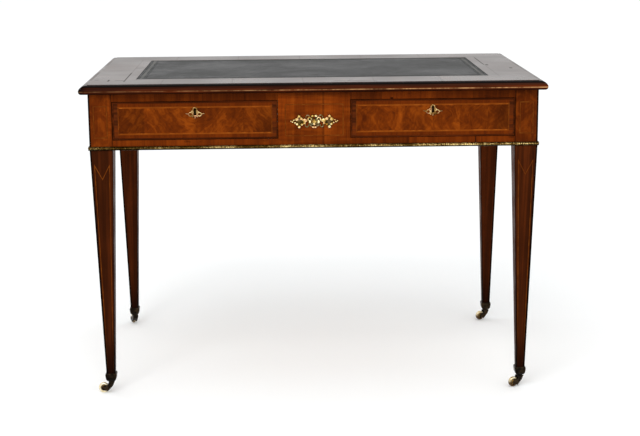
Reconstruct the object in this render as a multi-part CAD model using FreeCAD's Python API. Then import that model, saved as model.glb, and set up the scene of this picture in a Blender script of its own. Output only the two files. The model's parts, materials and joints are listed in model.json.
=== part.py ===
"""Writing table: leather-lined top, two frieze drawers with locks, tapered legs on swivelling castors.

X runs along the front, the sitter is at -Y, Z is up and the floor is at zero.
"""
import FreeCAD
import Part
import math
import os

V = FreeCAD.Vector

# Overall form
TABLE_HEIGHT = 760.0
CASE_WIDTH = 1060.0
CASE_DEPTH = 660.0
FRIEZE_HEIGHT = 133.5

# Top: core, cross-grained border, leather and moulded edge
TOP_THICKNESS = 22.0
TOP_OVERHANG = 19.0
NOSE_HEIGHT = 10.0
NOSE_ROUND = 7.0
MOULDING_STEP = 1.5
BORDER_WIDTH = 104.0
BORDER_THICKNESS = 2.0
LEATHER_THICKNESS = 1.6

# Legs
LEG_SIZE = 55.0
LEG_TOE = 21.4

# Rails, aprons and their joints
APRON_THICKNESS = 22.0
UPPER_RAIL_HEIGHT = 19.0
LOWER_RAIL_HEIGHT = 23.5
TENON_LENGTH = 25.0
TENON_THICKNESS = 9.0
TENON_SHOULDER = 14.0
RAIL_TENON_DEPTH = 30.0
RAIL_TENON_HEIGHT = 10.0
LAP_TAIL_LENGTH = 22.0
LAP_TAIL_ROOT = 24.0
LAP_TAIL_TIP = 32.0
CENTRE_WIDTH = 170.0
CENTRE_FACING = 6.0
CENTRE_BLOCK_DEPTH = 24.0

# Drawer runners, guides, kickers and stops
RUNNER_SUPPORT = 20.0
GUIDE_HEIGHT = 20.0
INNER_GUIDE_WIDTH = 25.0
STOP_WIDTH = 32.0
STOP_DEPTH = 12.0
STOP_HEIGHT = 5.0
STOP_PLACE = 110.0

# Drawers
DRAWER_GAP = 1.0
RUNNING_GAP = 0.3
DRAWER_DEPTH = 500.0
FRONT_THICKNESS = 20.0
SIDE_THICKNESS = 10.0
SIDE_DROP = 4.0
BACK_THICKNESS = 10.0
BOTTOM_THICKNESS = 6.0
BOTTOM_LIFT = 8.0
GROOVE_DEPTH = 5.0
TAIL_COUNT = 3
TAIL_ROOT_SHARE = 0.55
TAIL_SLOPE_SHARE = 0.16
COCKBEAD_WIDTH = 3.5
COCKBEAD_DEPTH = 9.0
COCKBEAD_PROUD = 1.6
NOSE_SHARES = ((0.9, 0.6), (0.65, 1.0), (0.35, 1.0), (0.1, 0.6))

# Light stringing let in flush
STRING_WIDTH = 2.0
STRING_DEPTH = 1.0
DRAWER_STRING_INSET = 13.0
CENTRE_STRING_SIDE = 16.0
PANEL_STRING_END = 28.8
POST_STRING_SIDE = 11.0
LEG_STRING_WIDTH = 1.6
LEG_STRING_TOP_HALF = 17.5
LEG_STRING_TOE_HALF = 6.5
LEG_STRING_TOE_RISE = 12.0
VEE_DROP = 33.0
VEE_DEPTH = 35.0

# Brass beading round the foot of the frieze
BEAD_HEIGHT = 9.0
BEAD_PROUD = 4.2

# Locks
KEY_DROP = 24.5
KEYHOLE_WIDTH = 5.2
KEYHOLE_HEIGHT = 15.6
LOCK_WIDTH = 64.0
LOCK_HEIGHT = 40.0
LOCK_PLATE = 2.0
LOCK_CASE_WIDTH = 46.0
LOCK_CASE_DEPTH = 9.0
LOCK_WALL = 1.2
SELVEDGE_THICKNESS = 2.5
KEY_PIN_RADIUS = 1.6
KEY_PIN_LENGTH = 11.0
KEY_PIN_RISE = 4.0
BOLT_WIDTH = 24.0
BOLT_THICKNESS = 4.0
BOLT_HEIGHT = 13.0
BOLT_TRAVEL = 7.0
BOLT_CLEARANCE = 0.2
MORTISE_CLEARANCE = 1.0

# Escutcheon of each drawer: arched shield, a ring and a tip to each side, drop below
ESCUTCHEON_THICKNESS = 1.6
ESCUTCHEON_RELIEF = 2.4
ESCUTCHEON_RIM = 4.2
ESCUTCHEON_RING_OUT = 11.0
ESCUTCHEON_RING_DROP = 5.6
ESCUTCHEON_RING_RADIUS = 6.4
ESCUTCHEON_RING_HOLE = 2.6
ESCUTCHEON_TIP_OUT = 22.6
ESCUTCHEON_TIP_DROP = 3.8
ESCUTCHEON_TIP_LENGTH = 9.0
ESCUTCHEON_TIP_WIDTH = 4.4
DROP_DEPTH = 17.4
DROP_WIDTH = 9.0

# Gilt mount on the centre panel, from its middle outwards
MOUNT_HALF_WIDTH = 56.5
MOUNT_DROP = 8.0
MOUNT_PLATE = 1.4
MOUNT_RELIEF = 2.8
SPINE_HEIGHT = 3.4
CARTOUCHE_LENGTH = 45.0
CARTOUCHE_HEIGHT = 34.0
CARTOUCHE_BAND = 4.6
PALMETTE_HEIGHT = 17.0
PALMETTE_WIDTH = 11.0
PALMETTE_FOOT = 8.0
SCROLL_OUT = 9.5
SCROLL_RADIUS = 4.6
CREST_OUT = 3.6
CREST_RISE = 14.0
CREST_RADIUS = 3.2
LINK_OUT = 22.5
LINK_RADIUS = 4.8
ROSETTE_OUT = 35.5
ROSETTE_HALF_WIDTH = 9.0
ROSETTE_HALF_HEIGHT = 12.5
ROSETTE_BAND = 3.6
ROSETTE_END_RADIUS = 2.9
ROSETTE_LOBE_RADIUS = 3.9
TIP_LENGTH = 16.0
TIP_WIDTH = 9.5
TIP_BEAD_RADIUS = 2.1
TIP_BEAD_PITCH = 4.4
TIP_BEAD_SPREAD = 2.3
LOBE_SIDES = 6
RING_SIDES = 8
BOW_POINTS = 9
LOBE_TOP_SHARE = 0.6
LOBE_EDGE_SHARE = 0.55

# Castors
WHEEL_RADIUS = 12.5
WHEEL_WIDTH = 9.0
WHEEL_SIDE_GAP = 0.4
WHEEL_TIP_GAP = 1.2
AXLE_RADIUS = 2.0
AXLE_CLEARANCE = 0.05
AXLE_PROUD = 0.8
TRAIL = 19.0
CHEEK = 2.6
EYE_RADIUS = 5.5
HEEL_BACK = 2.6
HEEL_RISE = 4.2
BELLY_OUT = 9.8
BELLY_DROP = 8.4
NECK_HALF = 7.2
THROAT_OUT = 8.5
THROAT_RISE = 7.0
CROWN_CLEARANCE = 1.4
CROWN_THICKNESS = 3.2
CROWN_RADIUS = 8.0
SPINDLE_RADIUS = 3.0
SPINDLE_CLEARANCE = 0.05
RIVET_RADIUS = 4.6
RIVET_HEIGHT = 2.0
SWIVEL_GAP = 0.3
CUP_BASE = 3.5
CUP_BASE_SIZE = 18.0
CUP_WAIST_SIZE = 24.4
CUP_WAIST_RISE = 5.0
CUP_SWELL_SIZE = 27.2
CUP_SWELL_DROP = 4.0
CUP_MOUTH_SIZE = 25.4
CUP_DEPTH = 16.6
TOE_BORE_RADIUS = 6.6
TOE_BORE_DEPTH = 3.2

# Blocks glued in the angle between the back apron and the top
BLOCK_SIZE = 24.0
BLOCK_LENGTH = 70.0
BLOCK_SHARES = (-0.8, -0.4, 0.4, 0.8)

# Trail direction of each castor as the table stands, in degrees from +X
CASTOR_ANGLES = {"front_left": 184, "front_right": 207, "back_left": 111, "back_right": 207}
CORNERS = {"front_left": (-1, -1), "front_right": (1, -1), "back_left": (-1, 1), "back_right": (1, 1)}
SIDES = {"left": -1, "right": 1}
UPWARD, LEFTWARD, DOWNWARD = 90, 180, 270

# Levels and planes that follow from the sizes above
TOP_UNDERSIDE = TABLE_HEIGHT - TOP_THICKNESS
BORDER_BED = TABLE_HEIGHT - BORDER_THICKNESS
FRIEZE_BOTTOM = TOP_UNDERSIDE - FRIEZE_HEIGHT
OPENING_TOP = TOP_UNDERSIDE - UPPER_RAIL_HEIGHT
OPENING_BOTTOM = FRIEZE_BOTTOM + LOWER_RAIL_HEIGHT
HALF_WIDTH = CASE_WIDTH / 2
HALF_DEPTH = CASE_DEPTH / 2
FRONT_PLANE = -HALF_DEPTH
POST_INNER_X = HALF_WIDTH - LEG_SIZE
POST_INNER_Y = HALF_DEPTH - LEG_SIZE
APRON_INNER_X = HALF_WIDTH - APRON_THICKNESS
APRON_INNER_Y = HALF_DEPTH - APRON_THICKNESS
HALF_CENTRE = CENTRE_WIDTH / 2
OPENING_WIDTH = POST_INNER_X - HALF_CENTRE
DRAWER_CENTRE = HALF_CENTRE + OPENING_WIDTH / 2
DRAWER_HALF = OPENING_WIDTH / 2 - DRAWER_GAP
FRONT_TOP = OPENING_TOP - DRAWER_GAP
FRONT_BOTTOM = OPENING_BOTTOM + DRAWER_GAP
FRONT_BACK = FRONT_PLANE + FRONT_THICKNESS
FRONT_MIDDLE = (FRONT_TOP + FRONT_BOTTOM) / 2
SIDE_TOP = FRONT_TOP - SIDE_DROP
SIDE_BOTTOM = OPENING_BOTTOM + RUNNING_GAP
FLOOR_BOTTOM = SIDE_BOTTOM + BOTTOM_LIFT
FLOOR_TOP = FLOOR_BOTTOM + BOTTOM_THICKNESS
DRAWER_REAR = FRONT_PLANE + DRAWER_DEPTH
KEY_LEVEL = FRONT_TOP - KEY_DROP
BOLT_PLANE = FRONT_BACK - LOCK_CASE_DEPTH / 2
FRIEZE_MIDDLE = (TOP_UNDERSIDE + FRIEZE_BOTTOM) / 2
MOUNT_LEVEL = FRIEZE_MIDDLE - MOUNT_DROP + BEAD_HEIGHT / 2
LEG_X = HALF_WIDTH - LEG_SIZE / 2
LEG_Y = HALF_DEPTH - LEG_SIZE / 2
CROWN_TOP = 2 * WHEEL_RADIUS + CROWN_CLEARANCE + CROWN_THICKNESS
CROWN_BOTTOM = CROWN_TOP - CROWN_THICKNESS
CUP_BOTTOM = CROWN_TOP + SWIVEL_GAP
LEG_FOOT = CUP_BOTTOM + CUP_BASE
CUP_TOP = LEG_FOOT + CUP_DEPTH
LEG_SLOPE = (LEG_SIZE - LEG_TOE) / 2 / (FRIEZE_BOTTOM - CUP_TOP)


def box(x0, x1, y0, y1, z0, z1):
    """Block between two limits on each axis."""
    return Part.makeBox(x1 - x0, y1 - y0, z1 - z0, V(x0, y0, z0))


def prism(points, sweep):
    """Flat polygon through the points, swept into a solid."""
    return Part.Face(Part.makePolygon(points + points[:1])).extrude(sweep)


def arc(start, middle, end):
    return Part.Arc(start, middle, end).toShape()


def bowed(start, middle, end):
    """Points along an arc, short of its end, for outlines of flat facets."""
    return arc(start, middle, end).discretize(BOW_POINTS)[:-1]


def area(edges):
    """Face inside a closed run of edges."""
    return Part.Face(Part.Wire(edges))


def joined(shapes):
    """The shapes as one solid."""
    return shapes[0].fuse(shapes[1:]).removeSplitter().Solids[0]


def mirrored(shape):
    """The same shape on the other side of the table's middle."""
    return shape.mirror(V(0, 0, 0), V(1, 0, 0))


def save(name, *shapes):
    """One named piece, or one named group of loose solids."""
    solids = [solid for shape in shapes for solid in shape.Solids]
    shape = solids[0] if len(solids) == 1 else Part.makeCompound(solids)
    shape.exportStep("parts/" + name + ".step")


def mitred_strips(half_x, half_y, section, reach):
    """Strips of one section round a rectangle, mitred at its corners: right, back, left, front.

    The section stands in XZ, with X outward from the rectangle's edge. Reach spans it both ways.
    """
    low = section.BoundBox.ZMin - reach
    rise = section.BoundBox.ZMax + reach - low
    strips = []
    for turn, (out, run) in enumerate([(half_x, half_y), (half_y, half_x)] * 2):
        far = run + reach
        near = run - reach
        bar = section.translated(V(out, -far, 0)).extrude(V(0, 2 * far, 0))
        plan = [V(out - reach, -near, low), V(out + reach, -far, low)]
        plan += [V(out + reach, far, low), V(out - reach, near, low)]
        strip = bar.common(prism(plan, V(0, 0, rise)))
        strips.append(strip.Solids[0].rotated(V(0, 0, 0), V(0, 0, 1), 90 * turn))
    return strips


def upright(shapes, place, turn=0):
    """Flat-lying shapes stood up to face the sitter, turned about Z and set in place."""
    stood = [shape.rotated(V(0, 0, 0), V(1, 0, 0), 90) for shape in shapes]
    return [shape.rotated(V(0, 0, 0), V(0, 0, 1), turn).translated(place) for shape in stood]


def oblong(out0, out1, low, high):
    """Rectangular section in XZ."""
    return Part.Face(Part.makePolygon([V(out0, 0, low), V(out1, 0, low), V(out1, 0, high),
                                       V(out0, 0, high), V(out0, 0, low)]))


def string_frame(half_x, half_z, place, turn=0):
    """Mitred rectangle of stringing, flush in an upright face."""
    section = oblong(-STRING_WIDTH, 0, -STRING_DEPTH, 0)
    return upright(mitred_strips(half_x, half_z, section, STRING_WIDTH), place, turn)


def edge_section():
    """Section of the top's edge: step, thumbnail curve, nose and rounded underside."""
    foot = V(TOP_OVERHANG - NOSE_ROUND, 0, 0)
    bend = V(foot.x + NOSE_ROUND * math.sin(math.pi / 4), 0, NOSE_ROUND * (1 - math.cos(math.pi / 4)))
    chin = V(TOP_OVERHANG, 0, NOSE_ROUND)
    nose = V(TOP_OVERHANG, 0, NOSE_HEIGHT)
    brow = V(0, 0, TOP_THICKNESS - MOULDING_STEP)
    swell = V(nose.x * math.cos(math.pi / 4), 0, nose.z + (brow.z - nose.z) * math.sin(math.pi / 4))
    root = V(0, 0, 0)
    return area([Part.makeLine(root, foot), arc(foot, bend, chin), Part.makeLine(chin, nose),
                 arc(nose, swell, brow), Part.makeLine(brow, root)])


def make_top():
    """Core, cross-grained border, leather and the mitred edge mouldings."""
    core = box(-HALF_WIDTH, HALF_WIDTH, -HALF_DEPTH, HALF_DEPTH, TOP_UNDERSIDE, BORDER_BED)
    save("top_core", core)
    border = oblong(-BORDER_WIDTH, 0, BORDER_BED, TABLE_HEIGHT)
    save("top_crossbanding", *mitred_strips(HALF_WIDTH, HALF_DEPTH, border, BORDER_WIDTH))
    half_x = HALF_WIDTH - BORDER_WIDTH
    half_y = HALF_DEPTH - BORDER_WIDTH
    save("leather_inset", box(-half_x, half_x, -half_y, half_y, BORDER_BED, BORDER_BED + LEATHER_THICKNESS))
    edges = mitred_strips(HALF_WIDTH, HALF_DEPTH, edge_section(), TOP_OVERHANG)
    for name, edge in zip(("right", "back", "left", "front"), edges):
        save("top_moulding_" + name, edge.translated(V(0, 0, TOP_UNDERSIDE)))


def make_blocks():
    """Glue blocks in the angle between the back apron and the top."""
    half = BLOCK_LENGTH / 2
    spots = [POST_INNER_X * share for share in BLOCK_SHARES]
    blocks = [box(x - half, x + half, APRON_INNER_Y - BLOCK_SIZE, APRON_INNER_Y, TOP_UNDERSIDE - BLOCK_SIZE,
                  TOP_UNDERSIDE) for x in spots]
    save("glue_blocks", *blocks)


def ring_points(radius, place, sides, up):
    """Corners of a regular outline in the plane of X and the up direction."""
    angles = [2 * math.pi * (corner + 1 / 2) / sides for corner in range(sides)]
    return [place + V(radius * math.cos(angle), 0, 0) + up * (radius * math.sin(angle)) for angle in angles]


def eight_sided(radius, place, height):
    """Upright prism on an eight-sided base."""
    return prism(ring_points(radius, place, RING_SIDES, V(0, 1, 0)), V(0, 0, height))


def stacked(rings):
    """Flat-faced solid through rings of as many points each."""
    outlines = [rings[0], rings[-1]]
    for low, high in zip(rings, rings[1:]):
        outlines += [[low[i - 1], low[i], high[i], high[i - 1]] for i in range(len(low))]
    faces = [Part.Face(Part.makePolygon(outline + outline[:1])) for outline in outlines]
    solid = Part.makeSolid(Part.makeShell(faces))
    if solid.Volume < 0:
        solid.reverse()
    return solid


def tapered(sections, axis):
    """Square pillar through (level, size) sections."""
    corners = [V(-1, -1, 0), V(1, -1, 0), V(1, 1, 0), V(-1, 1, 0)]
    rings = [[axis + corner * (size / 2) + V(0, 0, level) for corner in corners] for level, size in sections]
    return stacked(rings)


def make_leg(axis, tenons, strings):
    """Square post with a tapered leg below, mortised, inlaid and bored for the castor's rivet."""
    toe = LEG_TOE - 2 * LEG_SLOPE * CUP_DEPTH
    leg = tapered([(LEG_FOOT, toe), (FRIEZE_BOTTOM, LEG_SIZE)], axis)
    post = tapered([(FRIEZE_BOTTOM, LEG_SIZE), (TOP_UNDERSIDE, LEG_SIZE)], axis)
    bore = eight_sided(TOE_BORE_RADIUS, axis + V(0, 0, LEG_FOOT), TOE_BORE_DEPTH)
    return joined([leg, post]).cut([bore] + tenons + strings)


def leg_string(axis, out):
    """Stringing of one leg face: a line down each edge, joined by a vee at the top."""
    lean = math.atan(LEG_SLOPE)
    down = out * -math.sin(lean) - V(0, 0, math.cos(lean))
    normal = out * math.cos(lean) - V(0, 0, math.sin(lean))
    across = V(-out.y, out.x, 0)
    start = axis + V(0, 0, FRIEZE_BOTTOM) + out * (LEG_SIZE / 2)
    half = LEG_STRING_WIDTH / 2
    top = VEE_DROP
    end = FRIEZE_BOTTOM - CUP_TOP - LEG_STRING_TOE_RISE
    outer = LEG_STRING_TOP_HALF + half
    inner = LEG_STRING_TOP_HALF - half
    stroke = LEG_STRING_WIDTH * math.hypot(outer, VEE_DEPTH) / outer
    meet = top + stroke + VEE_DEPTH * LEG_STRING_WIDTH / outer
    wing = [(outer, top), (LEG_STRING_TOE_HALF + half, end), (LEG_STRING_TOE_HALF - half, end), (inner, meet)]
    outline = wing + [(0, top + VEE_DEPTH + stroke)]
    outline += [(-u, v) for u, v in reversed(wing)] + [(0, top + VEE_DEPTH)]
    return prism([start + across * u + down * v for u, v in outline], normal * -STRING_DEPTH)


def post_strings(axis, out):
    """Rectangle of stringing on one outer face of a leg's post."""
    half_x = LEG_SIZE / 2 - POST_STRING_SIDE
    half_z = FRIEZE_HEIGHT / 2 - PANEL_STRING_END
    turn = math.degrees(math.atan2(out.x, -out.y))
    return string_frame(half_x, half_z, axis + out * (LEG_SIZE / 2) + V(0, 0, FRIEZE_MIDDLE), turn)


def make_legs(tenons):
    """Four legs, and the stringing let into their outer faces."""
    strings = []
    for name, (sx, sy) in CORNERS.items():
        axis = V(sx * LEG_X, sy * LEG_Y, 0)
        own = []
        for out in (V(sx, 0, 0), V(0, sy, 0)):
            own += [leg_string(axis, out)] + post_strings(axis, out)
        save("leg_" + name, make_leg(axis, tenons, own))
        strings += own
    return strings


def side_apron():
    """Right-hand apron with a tenon at each end."""
    board = box(APRON_INNER_X, HALF_WIDTH, -POST_INNER_Y, POST_INNER_Y, FRIEZE_BOTTOM, TOP_UNDERSIDE)
    middle = (APRON_INNER_X + HALF_WIDTH) / 2
    reach = POST_INNER_Y + TENON_LENGTH
    tenon = box(middle - TENON_THICKNESS / 2, middle + TENON_THICKNESS / 2, -reach, reach,
                FRIEZE_BOTTOM + TENON_SHOULDER, TOP_UNDERSIDE - TENON_SHOULDER)
    return joined([board, tenon])


def back_apron():
    board = box(-POST_INNER_X, POST_INNER_X, APRON_INNER_Y, HALF_DEPTH, FRIEZE_BOTTOM, TOP_UNDERSIDE)
    middle = (APRON_INNER_Y + HALF_DEPTH) / 2
    reach = POST_INNER_X + TENON_LENGTH
    tenon = box(-reach, reach, middle - TENON_THICKNESS / 2, middle + TENON_THICKNESS / 2,
                FRIEZE_BOTTOM + TENON_SHOULDER, TOP_UNDERSIDE - TENON_SHOULDER)
    return joined([board, tenon])


def apron_strings():
    """One rectangle of stringing on each side apron and on the back."""
    half_z = FRIEZE_HEIGHT / 2 - PANEL_STRING_END
    short = POST_INNER_Y - POST_STRING_SIDE
    long = POST_INNER_X - POST_STRING_SIDE
    level = V(0, 0, FRIEZE_MIDDLE)
    return {"left": string_frame(short, half_z, level - V(HALF_WIDTH, 0, 0), -90),
            "right": string_frame(short, half_z, level + V(HALF_WIDTH, 0, 0), 90),
            "back": string_frame(long, half_z, level + V(0, HALF_DEPTH, 0), 180)}


def rail_upper():
    """Rail over the drawers, lap-dovetailed into the tops of the posts."""
    rail = box(-POST_INNER_X, POST_INNER_X, FRONT_PLANE, -POST_INNER_Y, OPENING_TOP, TOP_UNDERSIDE)
    tip = POST_INNER_X + LAP_TAIL_LENGTH
    level = TOP_UNDERSIDE - RAIL_TENON_HEIGHT
    plan = [V(POST_INNER_X, -LEG_Y - LAP_TAIL_ROOT / 2, level), V(tip, -LEG_Y - LAP_TAIL_TIP / 2, level),
            V(tip, -LEG_Y + LAP_TAIL_TIP / 2, level), V(POST_INNER_X, -LEG_Y + LAP_TAIL_ROOT / 2, level)]
    tail = prism(plan, V(0, 0, RAIL_TENON_HEIGHT))
    half_x = BOLT_WIDTH / 2 + MORTISE_CLEARANCE
    half_y = BOLT_THICKNESS / 2 + MORTISE_CLEARANCE
    mortises = [box(sx * DRAWER_CENTRE - half_x, sx * DRAWER_CENTRE + half_x, BOLT_PLANE - half_y,
                    BOLT_PLANE + half_y, OPENING_TOP, OPENING_TOP + BOLT_TRAVEL + MORTISE_CLEARANCE)
                for sx in SIDES.values()]
    return joined([rail, tail, mirrored(tail)]).cut(mortises)


def rail_lower():
    """Rail under the drawers, tenoned into the posts."""
    rail = box(-POST_INNER_X, POST_INNER_X, FRONT_PLANE, -POST_INNER_Y, FRIEZE_BOTTOM, OPENING_BOTTOM)
    reach = POST_INNER_X + TENON_LENGTH
    middle = (FRIEZE_BOTTOM + OPENING_BOTTOM) / 2
    tenon = box(-reach, reach, -LEG_Y - RAIL_TENON_DEPTH / 2, -LEG_Y + RAIL_TENON_DEPTH / 2,
                middle - RAIL_TENON_HEIGHT / 2, middle + RAIL_TENON_HEIGHT / 2)
    return joined([rail, tenon])


def centre_panel():
    """Panel between the drawers: a facing lapped over both rails and a block between them."""
    facing = box(-HALF_CENTRE, HALF_CENTRE, FRONT_PLANE, FRONT_PLANE + CENTRE_FACING,
                 FRIEZE_BOTTOM, TOP_UNDERSIDE)
    block = box(-HALF_CENTRE, HALF_CENTRE, FRONT_PLANE, FRONT_PLANE + CENTRE_BLOCK_DEPTH,
                OPENING_BOTTOM, OPENING_TOP)
    return joined([facing, block])


def make_frame():
    """Aprons, rails, centre panel, legs and all the frame's stringing."""
    aprons = {"left": mirrored(side_apron()), "right": side_apron(), "back": back_apron()}
    lines = apron_strings()
    panel = centre_panel()
    panel_lines = string_frame(HALF_CENTRE - CENTRE_STRING_SIDE, FRIEZE_HEIGHT / 2 - PANEL_STRING_END,
                               V(0, FRONT_PLANE, FRIEZE_MIDDLE))
    upper = rail_upper()
    lower = rail_lower()
    for side, apron in aprons.items():
        save("apron_" + side, apron.cut(lines[side]))
    save("rail_upper", upper.cut(panel))
    save("rail_lower", lower.cut(panel))
    save("centre_panel", panel.cut(panel_lines))
    strings = make_legs(list(aprons.values()) + [upper, lower])
    strings += panel_lines + [strip for side in lines.values() for strip in side]
    save("frame_stringing", *strings)


def make_runners():
    """Runners with guides under the drawer sides, kickers above them, stops on the lower rail."""
    front = -POST_INNER_Y
    outer_edge = POST_INNER_X - RUNNER_SUPPORT
    inner_edge = HALF_CENTRE + RUNNER_SUPPORT
    inner_face = HALF_CENTRE - INNER_GUIDE_WIDTH
    guide_top = OPENING_BOTTOM + GUIDE_HEIGHT
    outer = joined([box(outer_edge, APRON_INNER_X, front, POST_INNER_Y, FRIEZE_BOTTOM, OPENING_BOTTOM),
                    box(POST_INNER_X, APRON_INNER_X, front, POST_INNER_Y, FRIEZE_BOTTOM, guide_top)])
    inner = joined([box(inner_face, inner_edge, front, APRON_INNER_Y, FRIEZE_BOTTOM, OPENING_BOTTOM),
                    box(inner_face, HALF_CENTRE, front, APRON_INNER_Y, FRIEZE_BOTTOM, guide_top)])
    kickers = [box(outer_edge, APRON_INNER_X, front, POST_INNER_Y, OPENING_TOP, TOP_UNDERSIDE),
               box(inner_face, inner_edge, front, APRON_INNER_Y, OPENING_TOP, TOP_UNDERSIDE)]
    kickers += [mirrored(kicker) for kicker in kickers]
    stop_front = FRONT_BACK + RUNNING_GAP
    stops = [box(x - STOP_WIDTH / 2, x + STOP_WIDTH / 2, stop_front, stop_front + STOP_DEPTH,
                 OPENING_BOTTOM, OPENING_BOTTOM + STOP_HEIGHT)
             for x in (DRAWER_CENTRE - STOP_PLACE, DRAWER_CENTRE + STOP_PLACE)]
    save("runners_right", outer, inner)
    save("runners_left", mirrored(outer), mirrored(inner))
    save("kickers", *kickers)
    save("drawer_stops", *stops, *[mirrored(stop) for stop in stops])


def tails(low, high, root, length):
    """Row of dovetails in YZ that spread towards their ends; length is signed along Y."""
    pitch = (high - low) / TAIL_COUNT
    half = pitch * TAIL_ROOT_SHARE / 2
    flare = half + abs(length) * TAIL_SLOPE_SHARE
    row = []
    for index in range(TAIL_COUNT):
        middle = low + pitch * (index + 1 / 2)
        outline = [V(0, root, middle - half), V(0, root + length, middle - flare),
                   V(0, root + length, middle + flare), V(0, root, middle + half)]
        row.append(prism(outline, V(SIDE_THICKNESS, 0, 0)))
    return row


def drawer_side():
    """Right-hand side: lapped tails at the front, through tails at the back."""
    rear_root = DRAWER_REAR - BACK_THICKNESS
    board = box(0, SIDE_THICKNESS, FRONT_BACK, rear_root, SIDE_BOTTOM, SIDE_TOP)
    skid = box(0, SIDE_THICKNESS, FRONT_BACK, DRAWER_REAR, SIDE_BOTTOM, FLOOR_TOP)
    front_tails = tails(FRONT_BOTTOM, SIDE_TOP, FRONT_BACK, COCKBEAD_DEPTH - FRONT_THICKNESS)
    rear_tails = tails(FLOOR_TOP, SIDE_TOP, rear_root, BACK_THICKNESS)
    side = joined([board, skid] + front_tails + rear_tails)
    return side.translated(V(DRAWER_HALF - SIDE_THICKNESS, 0, 0))


def drawer_bottom():
    half = DRAWER_HALF - SIDE_THICKNESS + GROOVE_DEPTH
    return box(-half, half, FRONT_BACK - GROOVE_DEPTH, DRAWER_REAR, FLOOR_BOTTOM, FLOOR_TOP)


def cockbead():
    """Rounded bead let into the edge of a drawer front on all four sides."""
    corners = [V(0, 0, 0), V(0, 0, -COCKBEAD_DEPTH), V(-COCKBEAD_WIDTH, 0, -COCKBEAD_DEPTH),
               V(-COCKBEAD_WIDTH, 0, 0)]
    corners += [V(-COCKBEAD_WIDTH * in_share, 0, COCKBEAD_PROUD * out_share)
                for in_share, out_share in NOSE_SHARES]
    section = Part.Face(Part.makePolygon(corners + corners[:1]))
    strips = mitred_strips(DRAWER_HALF, (FRONT_TOP - FRONT_BOTTOM) / 2, section, COCKBEAD_WIDTH)
    return upright(strips, V(0, FRONT_PLANE, FRONT_MIDDLE))


def keyhole(start, depth):
    """Upright slot with round ends, running back from the start plane."""
    half = KEYHOLE_WIDTH / 2
    rise = KEYHOLE_HEIGHT / 2 - half
    top = V(0, start, KEY_LEVEL + rise)
    foot = V(0, start, KEY_LEVEL - rise)
    side = V(half, 0, 0)
    tip = V(0, 0, half)
    head = bowed(top - side, top + tip, top + side) + [top + side]
    heel = bowed(foot + side, foot - tip, foot - side) + [foot - side]
    return prism(head + heel, V(0, depth, 0))


def lock_envelope():
    """Solid room that a lock takes in the back and top edge of a drawer front."""
    plate = box(-LOCK_WIDTH / 2, LOCK_WIDTH / 2, FRONT_BACK - LOCK_PLATE, FRONT_BACK,
                FRONT_TOP - LOCK_HEIGHT, FRONT_TOP)
    case = box(-LOCK_CASE_WIDTH / 2, LOCK_CASE_WIDTH / 2, FRONT_BACK - LOCK_CASE_DEPTH, FRONT_BACK,
               FRONT_TOP - LOCK_HEIGHT, FRONT_TOP)
    selvedge = box(-LOCK_WIDTH / 2, LOCK_WIDTH / 2, FRONT_PLANE + COCKBEAD_DEPTH, FRONT_BACK,
                   FRONT_TOP - SELVEDGE_THICKNESS, FRONT_TOP)
    return joined([plate, case, selvedge])


def bolt(clearance=0):
    """Lock bolt, drawn back flush with the top of the drawer front."""
    half_x = BOLT_WIDTH / 2 + clearance
    half_y = BOLT_THICKNESS / 2 + clearance
    return box(-half_x, half_x, BOLT_PLANE - half_y, BOLT_PLANE + half_y,
               FRONT_TOP - BOLT_HEIGHT - clearance, FRONT_TOP)


def drawer_lock():
    """Cut lock: hollow case on a back plate, selvedge along the top and a pin for the key."""
    hollow = box(LOCK_WALL - LOCK_CASE_WIDTH / 2, LOCK_CASE_WIDTH / 2 - LOCK_WALL,
                 FRONT_BACK - LOCK_CASE_DEPTH + LOCK_WALL, FRONT_BACK - LOCK_PLATE,
                 FRONT_TOP - LOCK_HEIGHT + LOCK_WALL, FRONT_TOP - SELVEDGE_THICKNESS)
    entry = keyhole(FRONT_BACK - LOCK_CASE_DEPTH, LOCK_WALL)
    shell = lock_envelope().cut([hollow, bolt(BOLT_CLEARANCE), entry])
    root = V(0, FRONT_BACK - LOCK_PLATE, KEY_LEVEL + KEY_PIN_RISE)
    pin = prism(ring_points(KEY_PIN_RADIUS, root, RING_SIDES, V(0, 0, 1)), V(0, -KEY_PIN_LENGTH, 0))
    return joined([shell, pin])


def leaf(length, width, height, place, angle):
    """Pointed leaf lying on an upright face, raised towards the sitter."""
    half = width / 2
    root = V(0, 0, 0)
    tip = V(length, 0, 0)
    outline = bowed(root, V(length / 2, 0, half), tip) + bowed(tip, V(length / 2, 0, -half), root)
    solid = prism(outline, V(0, -height, 0))
    return solid.rotated(V(0, 0, 0), V(0, -1, 0), angle).translated(place)


def lobe(radius, height, place):
    """Raised bead of flat facets on an upright face."""
    levels = ((0, 1), (LOBE_EDGE_SHARE, 1), (1, LOBE_TOP_SHARE))
    return stacked([ring_points(radius * share, place - V(0, height * rise, 0), LOBE_SIDES, V(0, 0, 1))
                    for rise, share in levels])


def pierced(radius, hole, height, place):
    """Flat ring on an upright face."""
    disc, eye = [prism(ring_points(size, place, RING_SIDES, V(0, 0, 1)), V(0, -height, 0))
                 for size in (radius, hole)]
    return disc.cut(eye)


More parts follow.
